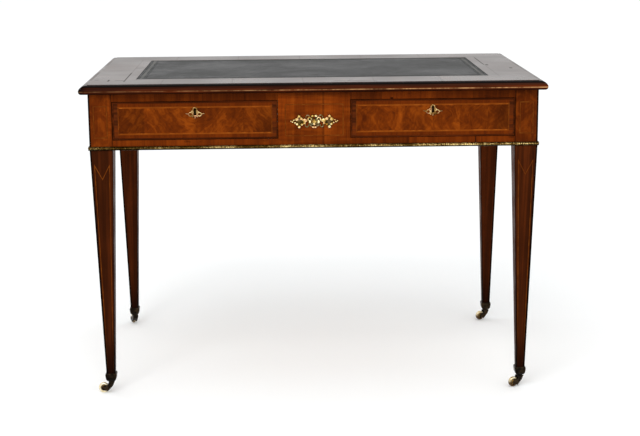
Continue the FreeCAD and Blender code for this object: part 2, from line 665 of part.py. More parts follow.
def escutcheon():
    """Keyhole plate: arched shield, a scrolled ring and a pointed tip to each side, and a drop."""
    at = V(0, FRONT_PLANE, KEY_LEVEL)
    lift = V(0, 0, KEYHOLE_HEIGHT / 2 - KEYHOLE_WIDTH / 2)
    radius = KEYHOLE_WIDTH / 2 + ESCUTCHEON_RIM
    thick = ESCUTCHEON_THICKNESS
    shield = [lobe(radius, thick, at + lift), lobe(radius, thick, at - lift),
              box(-radius, radius, FRONT_PLANE - thick, FRONT_PLANE, KEY_LEVEL - lift.z, KEY_LEVEL + lift.z)]
    scroll = pierced(ESCUTCHEON_RING_RADIUS, ESCUTCHEON_RING_HOLE, ESCUTCHEON_RELIEF,
                     at + V(ESCUTCHEON_RING_OUT, 0, -ESCUTCHEON_RING_DROP))
    tip = leaf(ESCUTCHEON_TIP_LENGTH, ESCUTCHEON_TIP_WIDTH, thick,
               at + V(ESCUTCHEON_TIP_OUT, 0, -ESCUTCHEON_TIP_DROP), LEFTWARD)
    drop = leaf(DROP_DEPTH, DROP_WIDTH, thick, at, DOWNWARD)
    plate = joined(shield + [scroll, mirrored(scroll), tip, mirrored(tip), drop])
    return plate.cut(keyhole(FRONT_PLANE, -ESCUTCHEON_RELIEF)).Solids[0]


def make_drawer(name, offset):
    """One drawer: dovetailed box, beaded and inlaid front, lock, bolt and escutcheon."""
    side = drawer_side()
    bottom = drawer_bottom()
    sides = [side, mirrored(side)]
    bead = cockbead()
    half_z = (FRONT_TOP - FRONT_BOTTOM) / 2 - DRAWER_STRING_INSET
    lines = string_frame(DRAWER_HALF - DRAWER_STRING_INSET, half_z, V(0, FRONT_PLANE, FRONT_MIDDLE))
    lock = drawer_lock()
    slot = keyhole(FRONT_PLANE, FRONT_THICKNESS)
    front = box(-DRAWER_HALF, DRAWER_HALF, FRONT_PLANE, FRONT_BACK, FRONT_BOTTOM, FRONT_TOP)
    front = front.cut(sides + [bottom, lock_envelope(), slot] + bead + lines)
    back = box(-DRAWER_HALF, DRAWER_HALF, DRAWER_REAR - BACK_THICKNESS, DRAWER_REAR, FLOOR_TOP, SIDE_TOP)
    pieces = {"front": [front], "cockbead": bead, "sides": [one.cut(bottom) for one in sides],
              "back": [back.cut(sides)], "bottom": [bottom], "stringing": lines,
              "escutcheon": [escutcheon()], "lock": [lock], "bolt": [bolt()]}
    for piece, shapes in pieces.items():
        save("drawer_" + name + "_" + piece, *[shape.translated(V(offset, 0, 0)) for shape in shapes])


def make_beading():
    """Half-round brass beading, mitred round the foot of the frieze."""
    foot = V(0, 0, FRIEZE_BOTTOM)
    head = V(0, 0, FRIEZE_BOTTOM + BEAD_HEIGHT)
    crest = V(BEAD_PROUD, 0, FRIEZE_BOTTOM + BEAD_HEIGHT / 2)
    section = area([Part.makeLine(foot, head), arc(head, crest, foot)])
    beads = mitred_strips(HALF_WIDTH, HALF_DEPTH, section, BEAD_PROUD)
    for name, bead in zip(("right", "back", "left", "front"), beads):
        save("brass_bead_" + name, bead)


def cartouche(at):
    """Middle of the gilt mount: pierced oval with a palmette, a scroll to each side and a crest."""
    half = CARTOUCHE_LENGTH / 2
    band = CARTOUCHE_BAND
    oval = leaf(CARTOUCHE_LENGTH, CARTOUCHE_HEIGHT, MOUNT_PLATE, at - V(half, 0, 0), 0)
    hollow = leaf(CARTOUCHE_LENGTH - 2 * band, CARTOUCHE_HEIGHT - 2 * band, MOUNT_PLATE,
                  at - V(half - band, 0, 0), 0)
    palmette = leaf(PALMETTE_HEIGHT, PALMETTE_WIDTH, MOUNT_RELIEF, at - V(0, 0, PALMETTE_FOOT), UPWARD)
    shapes = [oval.cut(hollow), palmette]
    shapes.append(lobe(CREST_RADIUS, MOUNT_RELIEF, at - V(0, 0, CREST_RISE)))
    for sx in SIDES.values():
        shapes.append(lobe(SCROLL_RADIUS, MOUNT_RELIEF, at + V(sx * SCROLL_OUT, 0, 0)))
        shapes.append(lobe(CREST_RADIUS, MOUNT_RELIEF, at + V(sx * CREST_OUT, 0, CREST_RISE)))
    return shapes


def rosette(at):
    """Pierced lozenge with a bead at each end and a lobe on each flank."""
    corners = [V(ROSETTE_HALF_WIDTH, 0, 0), V(0, 0, ROSETTE_HALF_HEIGHT), V(-ROSETTE_HALF_WIDTH, 0, 0),
               V(0, 0, -ROSETTE_HALF_HEIGHT)]
    sweep = V(0, -MOUNT_PLATE, 0)
    inner = 1 - ROSETTE_BAND / ROSETTE_HALF_WIDTH
    shapes = [prism([at + corner for corner in corners], sweep).cut(
        prism([at + corner * inner for corner in corners], sweep))]
    shapes += [lobe(ROSETTE_END_RADIUS, MOUNT_RELIEF, at + corner) for corner in (corners[1], corners[3])]
    flanks = [(first + second) * (1 / 2) for first, second in zip(corners, corners[1:] + corners[:1])]
    return shapes + [lobe(ROSETTE_LOBE_RADIUS, MOUNT_RELIEF, at + flank) for flank in flanks]


def mount_tip(at, sx):
    """Pointed leaf with paired beads that closes one end of the gilt mount."""
    end = at + V(sx * MOUNT_HALF_WIDTH, 0, 0)
    shapes = [leaf(TIP_LENGTH, TIP_WIDTH, MOUNT_PLATE, end, LEFTWARD if sx > 0 else 0)]
    for step in (1, 2):
        spot = end - V(sx * TIP_BEAD_PITCH * (step + 1 / 2), 0, 0)
        shapes += [lobe(TIP_BEAD_RADIUS, MOUNT_RELIEF, spot + V(0, 0, sz * TIP_BEAD_SPREAD))
                   for sz in (-1, 1)]
    return shapes


def centre_mount():
    """Gilt mount: cartouche between two pierced rosettes, with links and leaf tips on a spine."""
    at = V(0, FRONT_PLANE, MOUNT_LEVEL)
    reach = MOUNT_HALF_WIDTH - TIP_LENGTH / 2
    half = SPINE_HEIGHT / 2
    spine = box(-reach, reach, FRONT_PLANE - MOUNT_PLATE, FRONT_PLANE, MOUNT_LEVEL - half, MOUNT_LEVEL + half)
    shapes = [spine] + cartouche(at)
    for sx in SIDES.values():
        shapes.append(lobe(LINK_RADIUS, MOUNT_RELIEF, at + V(sx * LINK_OUT, 0, 0)))
        shapes += rosette(at + V(sx * ROSETTE_OUT, 0, 0)) + mount_tip(at, sx)
    return joined(shapes)


def castor_cup(axis):
    """Square socket on the leg's toe, swelling to the mouth, bored for the castor's spindle."""
    sections = [(CUP_BOTTOM, CUP_BASE_SIZE), (CUP_BOTTOM + CUP_WAIST_RISE, CUP_WAIST_SIZE),
                (CUP_TOP - CUP_SWELL_DROP, CUP_SWELL_SIZE), (CUP_TOP, CUP_MOUTH_SIZE)]
    toe = LEG_TOE - 2 * LEG_SLOPE * CUP_DEPTH
    room = tapered([(LEG_FOOT, toe), (FRIEZE_BOTTOM, LEG_SIZE)], axis)
    bore = Part.makeCylinder(SPINDLE_RADIUS + SPINDLE_CLEARANCE, CUP_BASE, axis + V(0, 0, CUP_BOTTOM))
    return tapered(sections, axis).cut([room, bore])


def tangent(point, centre, radius, side):
    """Where a line from the point touches a circle in XZ; side is +1 or -1."""
    away = point - centre
    angle = math.atan2(away.z, away.x) + side * math.acos(radius / away.Length)
    return centre + V(radius * math.cos(angle), 0, radius * math.sin(angle))


def castor_fork():
    """Horn with two cheeks for the wheel, a round crown and a riveted spindle; the trail runs along X."""
    hub = V(TRAIL, 0, WHEEL_RADIUS)
    heel = V(-HEEL_BACK, 0, WHEEL_RADIUS + HEEL_RISE)
    belly = V(BELLY_OUT, 0, WHEEL_RADIUS - BELLY_DROP)
    throat = V(THROAT_OUT, 0, WHEEL_RADIUS + THROAT_RISE)
    under = tangent(belly, hub, EYE_RADIUS, 1)
    over = tangent(throat, hub, EYE_RADIUS, -1)
    path = [over, throat, V(NECK_HALF, 0, CROWN_BOTTOM), V(-NECK_HALF, 0, CROWN_BOTTOM), heel, belly, under]
    path += bowed(under, hub + V(EYE_RADIUS, 0, 0), over)[1:]
    room = WHEEL_WIDTH + 2 * WHEEL_SIDE_GAP
    width = room + 2 * CHEEK
    horn = prism(path, V(0, width, 0)).translated(V(0, -width / 2, 0))
    reach = WHEEL_RADIUS + WHEEL_TIP_GAP
    slot = box(TRAIL - reach, TRAIL + reach, -room / 2, room / 2, 0, WHEEL_RADIUS + reach)
    hole = Part.makeCylinder(AXLE_RADIUS, width, hub - V(0, width / 2, 0), V(0, 1, 0))
    crown = eight_sided(CROWN_RADIUS, V(0, 0, CROWN_BOTTOM), CROWN_THICKNESS)
    rivet_seat = LEG_FOOT + SWIVEL_GAP
    spindle = Part.makeCylinder(SPINDLE_RADIUS, rivet_seat - CROWN_TOP, V(0, 0, CROWN_TOP))
    rivet = eight_sided(RIVET_RADIUS, V(0, 0, rivet_seat), RIVET_HEIGHT)
    return joined([horn, crown, spindle, rivet]).cut([slot, hole])


def castor_wheel():
    """Brass wheel bored for its axle."""
    axis = V(TRAIL, -WHEEL_WIDTH / 2, WHEEL_RADIUS)
    tread = Part.makeCylinder(WHEEL_RADIUS, WHEEL_WIDTH, axis, V(0, 1, 0))
    return tread.cut(Part.makeCylinder(AXLE_RADIUS + AXLE_CLEARANCE, WHEEL_WIDTH, axis, V(0, 1, 0)))


def castor_axle():
    """Pin through both cheeks, a little proud of each."""
    half = WHEEL_WIDTH / 2 + WHEEL_SIDE_GAP + CHEEK + AXLE_PROUD
    return Part.makeCylinder(AXLE_RADIUS, 2 * half, V(TRAIL, -half, WHEEL_RADIUS), V(0, 1, 0))


def make_castors():
    """Four castors, each turned to where it trails."""
    cups = []
    for name, (sx, sy) in CORNERS.items():
        axis = V(sx * LEG_X, sy * LEG_Y, 0)
        cups.append(castor_cup(axis))
        for piece, shape in (("fork", castor_fork()), ("axle", castor_axle()), ("wheel", castor_wheel())):
            turned = shape.rotated(V(0, 0, 0), V(0, 0, 1), CASTOR_ANGLES[name])
            save("castor_" + name + "_" + piece, turned.translated(axis))
    save("castor_cups", *cups)


os.makedirs("parts", exist_ok=True)
make_top()
make_blocks()
make_frame()
make_runners()
for drawer, sign in SIDES.items():
    make_drawer(drawer, sign * DRAWER_CENTRE)
make_beading()
save("centre_mount", centre_mount())
make_castors()
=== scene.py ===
import json
import math

import bmesh
import bpy
from mathutils import Matrix, Vector


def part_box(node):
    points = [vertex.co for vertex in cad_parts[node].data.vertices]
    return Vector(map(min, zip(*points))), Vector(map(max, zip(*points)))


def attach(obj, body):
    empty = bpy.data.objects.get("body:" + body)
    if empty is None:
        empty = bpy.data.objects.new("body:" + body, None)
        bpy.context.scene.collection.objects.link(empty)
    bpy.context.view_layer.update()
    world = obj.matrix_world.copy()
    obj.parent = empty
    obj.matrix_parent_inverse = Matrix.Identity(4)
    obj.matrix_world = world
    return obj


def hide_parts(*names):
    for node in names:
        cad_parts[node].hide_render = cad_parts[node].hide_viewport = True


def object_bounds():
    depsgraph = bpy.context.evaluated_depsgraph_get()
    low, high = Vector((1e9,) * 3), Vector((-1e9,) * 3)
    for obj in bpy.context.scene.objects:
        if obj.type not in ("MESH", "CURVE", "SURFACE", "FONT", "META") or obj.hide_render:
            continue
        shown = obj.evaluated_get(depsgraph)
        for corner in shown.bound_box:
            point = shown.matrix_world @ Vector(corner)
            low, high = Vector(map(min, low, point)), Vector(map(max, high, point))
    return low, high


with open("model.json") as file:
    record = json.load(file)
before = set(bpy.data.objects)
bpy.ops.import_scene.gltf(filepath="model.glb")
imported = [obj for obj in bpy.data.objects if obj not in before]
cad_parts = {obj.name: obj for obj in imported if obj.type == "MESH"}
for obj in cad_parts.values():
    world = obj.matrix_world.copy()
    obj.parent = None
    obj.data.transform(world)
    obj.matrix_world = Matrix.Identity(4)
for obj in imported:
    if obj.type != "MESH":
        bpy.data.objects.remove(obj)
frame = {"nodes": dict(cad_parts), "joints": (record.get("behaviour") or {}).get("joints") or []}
cad_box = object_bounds()
nodes = frame["nodes"]
scene = bpy.context.scene

MM = 0.001
SIDES = {"left": -1, "right": 1}
CORNERS = ("front_left", "front_right", "back_left", "back_right")

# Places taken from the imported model, in metres
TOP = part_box("top_crossbanding")[1][2]
LEFT_END = cad_box[0][0]
LEATHER_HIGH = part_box("leather_inset")[1]
PANEL_LOW, PANEL_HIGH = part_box("centre_panel")
FRONT = PANEL_LOW[1]
FRIEZE_BOTTOM = PANEL_LOW[2]
FRIEZE_TOP = PANEL_HIGH[2]
POST_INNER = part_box("leg_front_right")[0][0]
DRAWER_LOW, DRAWER_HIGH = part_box("drawer_right_front")
DRAWER_MIDDLE = (DRAWER_LOW[0] + DRAWER_HIGH[0]) / 2
DRAWER_TOP = DRAWER_HIGH[2]

# Sizes not given by boxes
LEG_FOOT = 33.4 * MM
LEG_TOE = 20.5 * MM
BEAD_HEIGHT = 9 * MM
KEY_DROP = 24.5 * MM
STRING_INSET = 13 * MM
STRING_REACH = (DRAWER_HIGH[0] - DRAWER_LOW[0]) / 2 - STRING_INSET

# Camera of the photograph, its focal length in pixels
FOCAL_PIXELS = 1460.5
PICTURE_WIDTH = 640
SENSOR = 36.0
CAMERA_PLACE = (-0.0809, -3.7437, 1.1522)
CAMERA_YAW = -0.0271
CAMERA_PITCH = -0.2070
CAMERA_ROLL = 0.0081

# White studio with one large soft box over the front
WORLD_STRENGTH = 1.04
KEY_PLACE = (-0.8, -3.0, 3.4)
KEY_TARGET = (0, -0.2, 0.6)
KEY_SIZE = (2.4, 1.6)
KEY_POWER = 60
FLOOR_HALF = 40


def tint(red, green, blue):
    """Linear colour of an 8-bit screen colour."""
    def linear(value):
        share = value / 255
        return share / 12.92 if share <= 0.04045 else ((share + 0.055) / 1.055) ** 2.4
    return (linear(red), linear(green), linear(blue), 1)


class Surface:
    """One procedural material: a Principled shader and the nodes that feed it."""

    def __init__(self, name, **constants):
        self.material = bpy.data.materials.new(name)
        self.material.use_nodes = True
        self.nodes = self.material.node_tree.nodes
        self.links = self.material.node_tree.links
        self.nodes.clear()
        self.shader = self.nodes.new("ShaderNodeBsdfPrincipled")
        output = self.nodes.new("ShaderNodeOutputMaterial")
        self.links.new(self.shader.outputs[0], output.inputs[0])
        self.where = self.nodes.new("ShaderNodeTexCoord").outputs["Object"]
        split = self.nodes.new("ShaderNodeSeparateXYZ")
        self.links.new(self.where, split.inputs[0])
        self.x, self.y, self.z = split.outputs
        for socket, value in constants.items():
            self.shader.inputs[socket.replace("_", " ")].default_value = value

    def feed(self, socket, value):
        """Links an output to a socket, or sets a plain number or colour on it."""
        if isinstance(value, bpy.types.NodeSocket):
            self.links.new(value, socket)
        else:
            socket.default_value = value

    def math(self, operation, *values):
        node = self.nodes.new("ShaderNodeMath")
        node.operation = operation
        for socket, value in zip(node.inputs, values):
            self.feed(socket, value)
        return node.outputs[0]

    def add(self, *values):
        total = values[0]
        for value in values[1:]:
            total = self.math("ADD", total, value)
        return total

    def times(self, first, second):
        return self.math("MULTIPLY", first, second)

    def less(self, first, second):
        return self.math("SUBTRACT", first, second)

    def size(self, value):
        return self.math("ABSOLUTE", value)

    def most(self, first, second):
        return self.math("MAXIMUM", first, second)

    def least(self, first, second):
        return self.math("MINIMUM", first, second)

    def point(self, *values):
        node = self.nodes.new("ShaderNodeCombineXYZ")
        for socket, value in zip(node.inputs, values):
            self.feed(socket, value)
        return node.outputs[0]

    def stretched(self, u, v, scale, seed=0):
        """Place in a noise that has its own scale along each of two coordinates."""
        return self.point(self.times(u, scale[0]), self.times(v, scale[1]), seed)

    def noise(self, vector, scale=1, detail=3, roughness=0.55, distortion=0):
        node = self.nodes.new("ShaderNodeTexNoise")
        self.feed(node.inputs["Vector"], vector)
        for socket, value in (("Scale", scale), ("Detail", detail), ("Roughness", roughness),
                              ("Distortion", distortion)):
            node.inputs[socket].default_value = value
        return node.outputs["Fac"]

    def cells(self, vector, scale):
        node = self.nodes.new("ShaderNodeTexVoronoi")
        node.feature = "DISTANCE_TO_EDGE"
        self.feed(node.inputs["Vector"], vector)
        node.inputs["Scale"].default_value = scale
        return node.outputs["Distance"]

    def chance(self, value):
        """Steady number between 0 and 1 for each whole number."""
        node = self.nodes.new("ShaderNodeTexWhiteNoise")
        node.noise_dimensions = "1D"
        self.feed(node.inputs["W"], value)
        return node.outputs["Value"]

    def fade(self, value, low, high, start=0, end=1):
        """Smooth step from start to end while the value goes from low to high."""
        node = self.nodes.new("ShaderNodeMapRange")
        node.interpolation_type = "SMOOTHSTEP"
        for socket, given in zip(node.inputs, (value, low, high, start, end)):
            self.feed(socket, given)
        return node.outputs[0]

    def ramp(self, value, *stops):
        node = self.nodes.new("ShaderNodeValToRGB")
        marks = node.color_ramp.elements
        while len(marks) < len(stops):
            marks.new(0)
        for mark, (place, colour) in zip(marks, stops):
            mark.position = place
            mark.color = colour
        self.feed(node.inputs[0], value)
        return node.outputs[0]

    def blend(self, factor, first, second, mode="MIX"):
        node = self.nodes.new("ShaderNodeMix")
        node.data_type = "RGBA"
        node.blend_type = mode
        colours = [socket for socket in node.inputs if socket.type == "RGBA"]
        self.feed(node.inputs[0], factor)
        self.feed(colours[0], first)
        self.feed(colours[1], second)
        return next(socket for socket in node.outputs if socket.type == "RGBA")

    def shade(self, colour, amount):
        """Multiplies a colour by a grey amount."""
        return self.blend(1, colour, self.point(amount, amount, amount), "MULTIPLY")

    def finish(self, colour, roughness, height, depth):
        """Feeds the shader and returns the material."""
        self.feed(self.shader.inputs["Base Color"], colour)
        self.feed(self.shader.inputs["Roughness"], roughness)
        bump = self.nodes.new("ShaderNodeBump")
        bump.inputs["Distance"].default_value = depth
        bump.inputs["Strength"].default_value = BUMP_STRENGTH
        self.feed(bump.inputs["Height"], height)
        self.links.new(bump.outputs[0], self.shader.inputs["Normal"])
        return self.material


# Usual range of a noise, depths of bumps, and finish of the fronts
SPAN = (0.3, 0.7)
BUMP_STRENGTH = 0.6
GRAIN_DEPTH = 0.12 * MM
METAL_DEPTH = 0.08 * MM
FRONT_GLOSS = 0.02
FRONT_POLISH = (0.3, 0.42)

# Wood: scales of the grain across and along the fibres
LINE_SCALE = (330, 9)
BAND_SCALE = (42, 4.5)
PORE_SCALE = (1500, 46)
DRIFT_SCALE = (14, 14)
PORE_SPAN = (0.62, 0.72)
PORE_SHADE = 0.35
BAND_SHARE = 0.62
WEAR = (0.3, 0.22)

# Dark, middle and light tone of each wood
WALNUT = (tint(70, 24, 2), tint(97, 38, 3), tint(124, 55, 7))
DRAWER_FIELD = (tint(62, 20, 2), tint(99, 40, 3), tint(138, 64, 9))
DRAWER_END = (tint(34, 11, 2), tint(76, 31, 7), tint(97, 38, 3))
LEG = (tint(34, 11, 2), tint(54, 20, 3), tint(76, 31, 7))
POST = (tint(70, 24, 2), tint(90, 35, 3), tint(124, 55, 7))
BORDER = (tint(42, 25, 17), tint(58, 37, 26), tint(78, 52, 38))
MOULDING = (tint(38, 12, 3), tint(67, 25, 6), tint(94, 38, 10))
PINE = (tint(104, 70, 40), tint(140, 100, 62), tint(168, 128, 86))
OAK = (tint(132, 96, 58), tint(166, 126, 82), tint(190, 152, 106))
COCKBEAD = (tint(44, 16, 3), tint(62, 24, 5), tint(86, 35, 8))


def grain(s, across, along, seed):
    """Tone of a wood between 0 and 1, and its pores, with fibres along one coordinate."""
    def field(scale, detail, distortion, shift):
        place = s.stretched(across, along, scale, s.add(seed, shift))
        return s.noise(place, detail=detail, roughness=0.6, distortion=distortion)
    lines = field(LINE_SCALE, detail=5, distortion=0.3, shift=0)
    bands = field(BAND_SCALE, detail=3, distortion=0.8, shift=4)
    pores = s.fade(field(PORE_SCALE, detail=1, distortion=0, shift=8), *PORE_SPAN)
    tone = s.add(s.times(bands, BAND_SHARE), s.times(lines, 1 - BAND_SHARE))
    return s.fade(tone, *SPAN), pores


def matched(s, u, v, width, degrees, waver=0.03):
    """Book-matched leaves of one width: wavering fibres lean from v one way and the other by turns."""
    cosine, sine = math.cos(math.radians(degrees)), math.sin(math.radians(degrees))
    leaf = s.math("FLOOR", s.math("DIVIDE", u, width))
    folded = s.math("PINGPONG", u, width)
    across = s.less(s.times(folded, cosine), s.times(v, sine))
    along = s.add(s.times(folded, sine), s.times(v, cosine))
    drift = s.noise(s.stretched(folded, v, DRIFT_SCALE), detail=2, roughness=0.5)
    return s.add(across, s.times(drift, waver)), along, leaf


def leaf_joint(s, u, width, half):
    """0 on the joints between every other two leaves, 1 away from them."""
    return s.fade(s.size(s.less(s.math("PINGPONG", u, width), width)), 0, half)


def varnish(s, tone, pores, tints):
    """Wood colour from its tone, darkened in the pores."""
    colour = s.ramp(tone, *zip((0.0, 0.5, 1.0), tints))
    return s.shade(colour, s.less(1, s.times(pores, PORE_SHADE)))


def worn(s, colour, amount=0.5):
    """Broad uneven patches of age in the polish."""
    patches = s.noise(s.where, scale=9, detail=4, roughness=0.6, distortion=0.4)
    return s.shade(colour, s.fade(patches, *SPAN, 1 - WEAR[0] * amount, 1 + WEAR[1] * amount))


def polished(s, colour, tone, pores, polish, depth=GRAIN_DEPTH):
    """Finishes a wood with uneven polish and the height of its grain."""
    roughness = s.fade(s.noise(s.where, scale=16), *SPAN, *polish)
    return s.finish(colour, roughness, s.less(s.times(tone, 0.5), pores), depth)


def spread(s, u, low, high, tones):
    """Brightness across a front, from a list of places between 0 and 1 and amounts."""
    place = s.fade(u, low, high)
    place.node.interpolation_type = "LINEAR"
    amounts = s.ramp(place, *[(at, (amount, amount, amount, 1)) for at, amount in tones])
    amounts.node.color_ramp.interpolation = "EASE"
    return amounts


# Drawer fronts: figure of the field, painted highlight in the wood along the stringing, and painted shade in
# the keyhole
CURL_SCALE = (60, 60)
CLOUD_SCALE = (26, 15)
TONE_SHARES = (0.42, 0.26, 0.32)
BAND_EDGE = 0.6 * MM
STRING_HIGHLIGHT = tint(158, 84, 20)
STRING_HIGHLIGHT_REACH = 2.4 * MM
DRAWER_JOINT = 0.7 * MM
KEYHOLE_HALF = (4.0 * MM, 4.5 * MM)
KEYHOLE_START = (0.4 * MM, 1.2 * MM)
KEYHOLE_END = (18.5 * MM, 19.5 * MM)
KEYHOLE_SHADE = 0.96

# Brightness across the fronts: place from the left end to the right, and amount
LEFT_TONES = ((0.0, 0.7), (0.186, 0.73), (0.197, 1.15), (0.45, 1.06), (0.5, 0.86), (0.62, 0.98),
              (0.85, 0.88), (0.93, 0.68))
RIGHT_TONES = ((0.0, 1.0), (0.3, 1.1), (0.32, 1.02), (0.5, 1.08), (0.6, 1.08), (0.63, 1.0),
               (0.84, 0.86), (0.93, 0.52))
CENTRE_TONES = ((0.0, 1.16), (0.11, 1.16), (0.125, 0.98), (0.2, 1.02), (0.6, 1.02), (0.625, 0.62),
                (0.65, 1.12), (0.9, 1.0), (0.93, 0.84))


def drawer_veneer(name, middle, lean, leaf_width, tones):
    """Drawer front: a book-matched field inside cross-grained bands, darker at the ends."""
    s = Surface(name, Specular_IOR_Level=FRONT_GLOSS)
    low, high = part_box(name + "_front")
    half_x = (high[0] - low[0]) / 2
    half_z = (high[2] - low[2]) / 2
    u = s.less(s.x, middle)
    v = s.less(s.z, (low[2] + high[2]) / 2)
    across, along, leaf = matched(s, u, v, leaf_width, lean, waver=0.06)
    tone, pores = grain(s, across, along, leaf)
    curl = s.noise(s.stretched(across, along, CURL_SCALE, leaf), detail=2, roughness=0.5, distortion=1.2)
    cloud = s.noise(s.stretched(u, v, CLOUD_SCALE, leaf), detail=3, roughness=0.55, distortion=0.8)
    figures = (tone, s.fade(curl, *SPAN), s.fade(cloud, *SPAN))
    tone = s.add(*[s.times(figure, share) for figure, share in zip(figures, TONE_SHARES)])
    field = varnish(s, tone, pores, DRAWER_FIELD)
    field = s.blend(1, field, spread(s, u, -half_x, half_x, tones), "MULTIPLY")
    band_tone, band_pores = grain(s, u, v, 3)
    band_tone = s.add(s.times(band_tone, 0.5), 0.12)
    band = varnish(s, band_tone, band_pores, WALNUT)
    end_tone, end_pores = grain(s, v, u, 5)
    end = s.shade(varnish(s, end_tone, end_pores, DRAWER_END), 1.1)
    beyond_x = s.less(s.size(u), half_x - STRING_INSET)
    beyond_z = s.less(s.size(v), half_z - STRING_INSET)
    colour = s.blend(s.fade(beyond_z, -BAND_EDGE, BAND_EDGE), field, band)
    colour = s.blend(s.fade(beyond_x, -BAND_EDGE, BAND_EDGE), colour, end)
    colour = s.shade(worn(s, colour), s.fade(leaf_joint(s, u, leaf_width, DRAWER_JOINT), 0, 1, 0.8, 1))
    # Painted highlight in the wood along the stringing, strongest by the horizontal lines
    line = s.fade(s.size(s.most(beyond_x, beyond_z)), BAND_EDGE, STRING_HIGHLIGHT_REACH, 1, 0)
    level = s.math("GREATER_THAN", beyond_z, beyond_x)
    colour = s.blend(s.times(line, s.fade(level, 0, 1, 0.02, 0.3)), colour, STRING_HIGHLIGHT)
    # Painted shade on the walls of the keyhole, behind the front face
    depth = s.less(s.y, FRONT)
    hole = s.times(s.fade(s.size(u), *KEYHOLE_HALF, 1, 0), s.fade(depth, *KEYHOLE_START))
    hole = s.times(hole, s.fade(depth, *KEYHOLE_END, 1, 0))
    colour = s.shade(colour, s.less(1, s.times(hole, KEYHOLE_SHADE)))
    return polished(s, colour, tone, pores, FRONT_POLISH)


PANEL_JOINT = 0.8 * MM
PANEL_SHADOW = 12 * MM


def panel_veneer(name, along_x, leaf_width, lean):
    """Book-matched veneer of an apron, its leaves side by side."""
    s = Surface(name, Specular_IOR_Level=FRONT_GLOSS)
    u = s.x if along_x else s.y
    across, along, leaf = matched(s, u, s.z, leaf_width, lean)
    tone, pores = grain(s, across, along, leaf)
    colour = varnish(s, tone, pores, WALNUT)
    colour = s.shade(colour, s.fade(s.chance(leaf), 0, 1, 0.82, 1.14))
    colour = s.shade(worn(s, colour), s.fade(leaf_joint(s, u, leaf_width, PANEL_JOINT), 0, 1, 0.6, 1))
    colour = s.shade(colour, s.fade(s.z, FRIEZE_TOP - PANEL_SHADOW, FRIEZE_TOP, 1, 0.75))
    return polished(s, colour, tone, pores, FRONT_POLISH)


RIPPLE_SCALE = (14, 90)
CENTRE_SEED = 21
CENTRE_GLOW = (FRIEZE_BOTTOM, FRIEZE_TOP - 20 * MM)
CENTRE_SHADOW = (FRIEZE_TOP - 14 * MM, FRIEZE_TOP - 4 * MM)


def centre_veneer(name):
    """Panel between the drawers: rippled upright grain with a dark joint right of the middle."""
    s = Surface(name, Specular_IOR_Level=FRONT_GLOSS)
    tone, pores = grain(s, s.x, s.z, CENTRE_SEED)
    ripple = s.noise(s.stretched(s.x, s.z, RIPPLE_SCALE, 2), detail=3, roughness=0.6)
    tone = s.add(s.times(tone, 0.5), s.times(s.fade(ripple, *SPAN), 0.4), 0.06)
    colour = varnish(s, tone, pores, WALNUT)
    colour = s.blend(1, colour, spread(s, s.x, PANEL_LOW[0], PANEL_HIGH[0], CENTRE_TONES), "MULTIPLY")
    colour = s.shade(worn(s, colour), s.fade(s.z, *CENTRE_GLOW, 1.0, 1.28))
    colour = s.shade(colour, s.fade(s.z, *CENTRE_SHADOW, 1, 0.6))
    return polished(s, colour, tone, pores, FRONT_POLISH)


STREAK_EDGE = 1.2 * MM


def streak(s, u, v, at_u, at_v, half_u, half_v):
    """Soft oblong mask round one point of a surface."""
    over = s.most(s.less(s.size(s.less(u, at_u)), half_u), s.less(s.size(s.less(v, at_v)), half_v))
    return s.fade(over, 0, STREAK_EDGE, 1, 0)


# Dark marks in the rails: place along x and z, and half sizes
UPPER_MARKS = ((0.183, 0.7205, 0.0028, 0.0022),)
LOWER_MARKS = ((0.382, 0.6160, 0.0008, 0.012),)
RAIL_ENDS = (-0.45, 0.45)
RAIL_WANDER_SCALE = 7
RAIL_PATCH_SCALE = (24, 60)
RAIL_JOINT = 0.012
RAIL_POLISH = (0.3, 0.45)
MARK_SHADE = 0.75


def rail_veneer(name, board, left, right, marks):
    """Cross-grained rail made up of short boards with dark joints and patches."""
    s = Surface(name, Specular_IOR_Level=FRONT_GLOSS)
    wander = s.times(s.noise(s.point(s.times(s.x, RAIL_WANDER_SCALE), 0, 0), detail=2), board)
    place = s.math("DIVIDE", s.add(s.x, wander), board)
    leaf = s.math("FLOOR", place)
    tone, pores = grain(s, s.x, s.z, leaf)
    tone = s.add(s.times(tone, 0.6), 0.2)
    colour = varnish(s, tone, pores, WALNUT)
    colour = s.shade(colour, s.fade(s.chance(leaf), 0, 1, 0.78, 1.15))
    colour = s.shade(colour, s.fade(s.x, *RAIL_ENDS, left, right))
    patches = s.noise(s.stretched(s.x, s.z, RAIL_PATCH_SCALE), detail=3, roughness=0.6)
    colour = s.shade(colour, s.fade(patches, 0.6, 0.75, 1, 0.45))
    joint = s.math("PINGPONG", place, 0.5)
    colour = s.shade(worn(s, colour, 0.8), s.fade(joint, 0, RAIL_JOINT, 0.6, 1))
    for mark in marks:
        colour = s.shade(colour, s.less(1, s.times(streak(s, s.x, s.z, *mark), MARK_SHADE)))
    return polished(s, colour, tone, pores, RAIL_POLISH)


# Legs: brightness of each leg and its post, painted shade along the arrises, and shades by height as low,
# high, start, end: darker towards the foot and shin, and a painted shadow under the moulding
LEG_LIGHTS = {"front_left": (1.0, 1.12), "front_right": (1.35, 0.86),
              "back_left": (1.15, 1.0), "back_right": (1.3, 1.0)}
POST_START = FRIEZE_BOTTOM + 4 * MM
POST_CLOUD_SCALE = (44, 30)
STREAK_SCALE = (120, 1.4)
DEPTH_SHARE = 0.83
LEG_POLISH = (0.34, 0.5)
ARRIS_SHADE_REACH = (0.4 * MM, 2.8 * MM)
FACE_LAYER = 1.2 * MM
OUTER_EDGE = (3.0 * MM, 5.4 * MM)
INNER_EDGE = (1.4 * MM, 4.0 * MM)
INNER_HEIGHT = (0.1, 0.5)
EDGE_SHADE = 0.92
LEG_SHADES = ((0.04, 0.17, 0.3, 1), (0.12, 0.45, 0.78, 1), (FRIEZE_TOP - 14 * MM, FRIEZE_TOP, 1, 0.7))


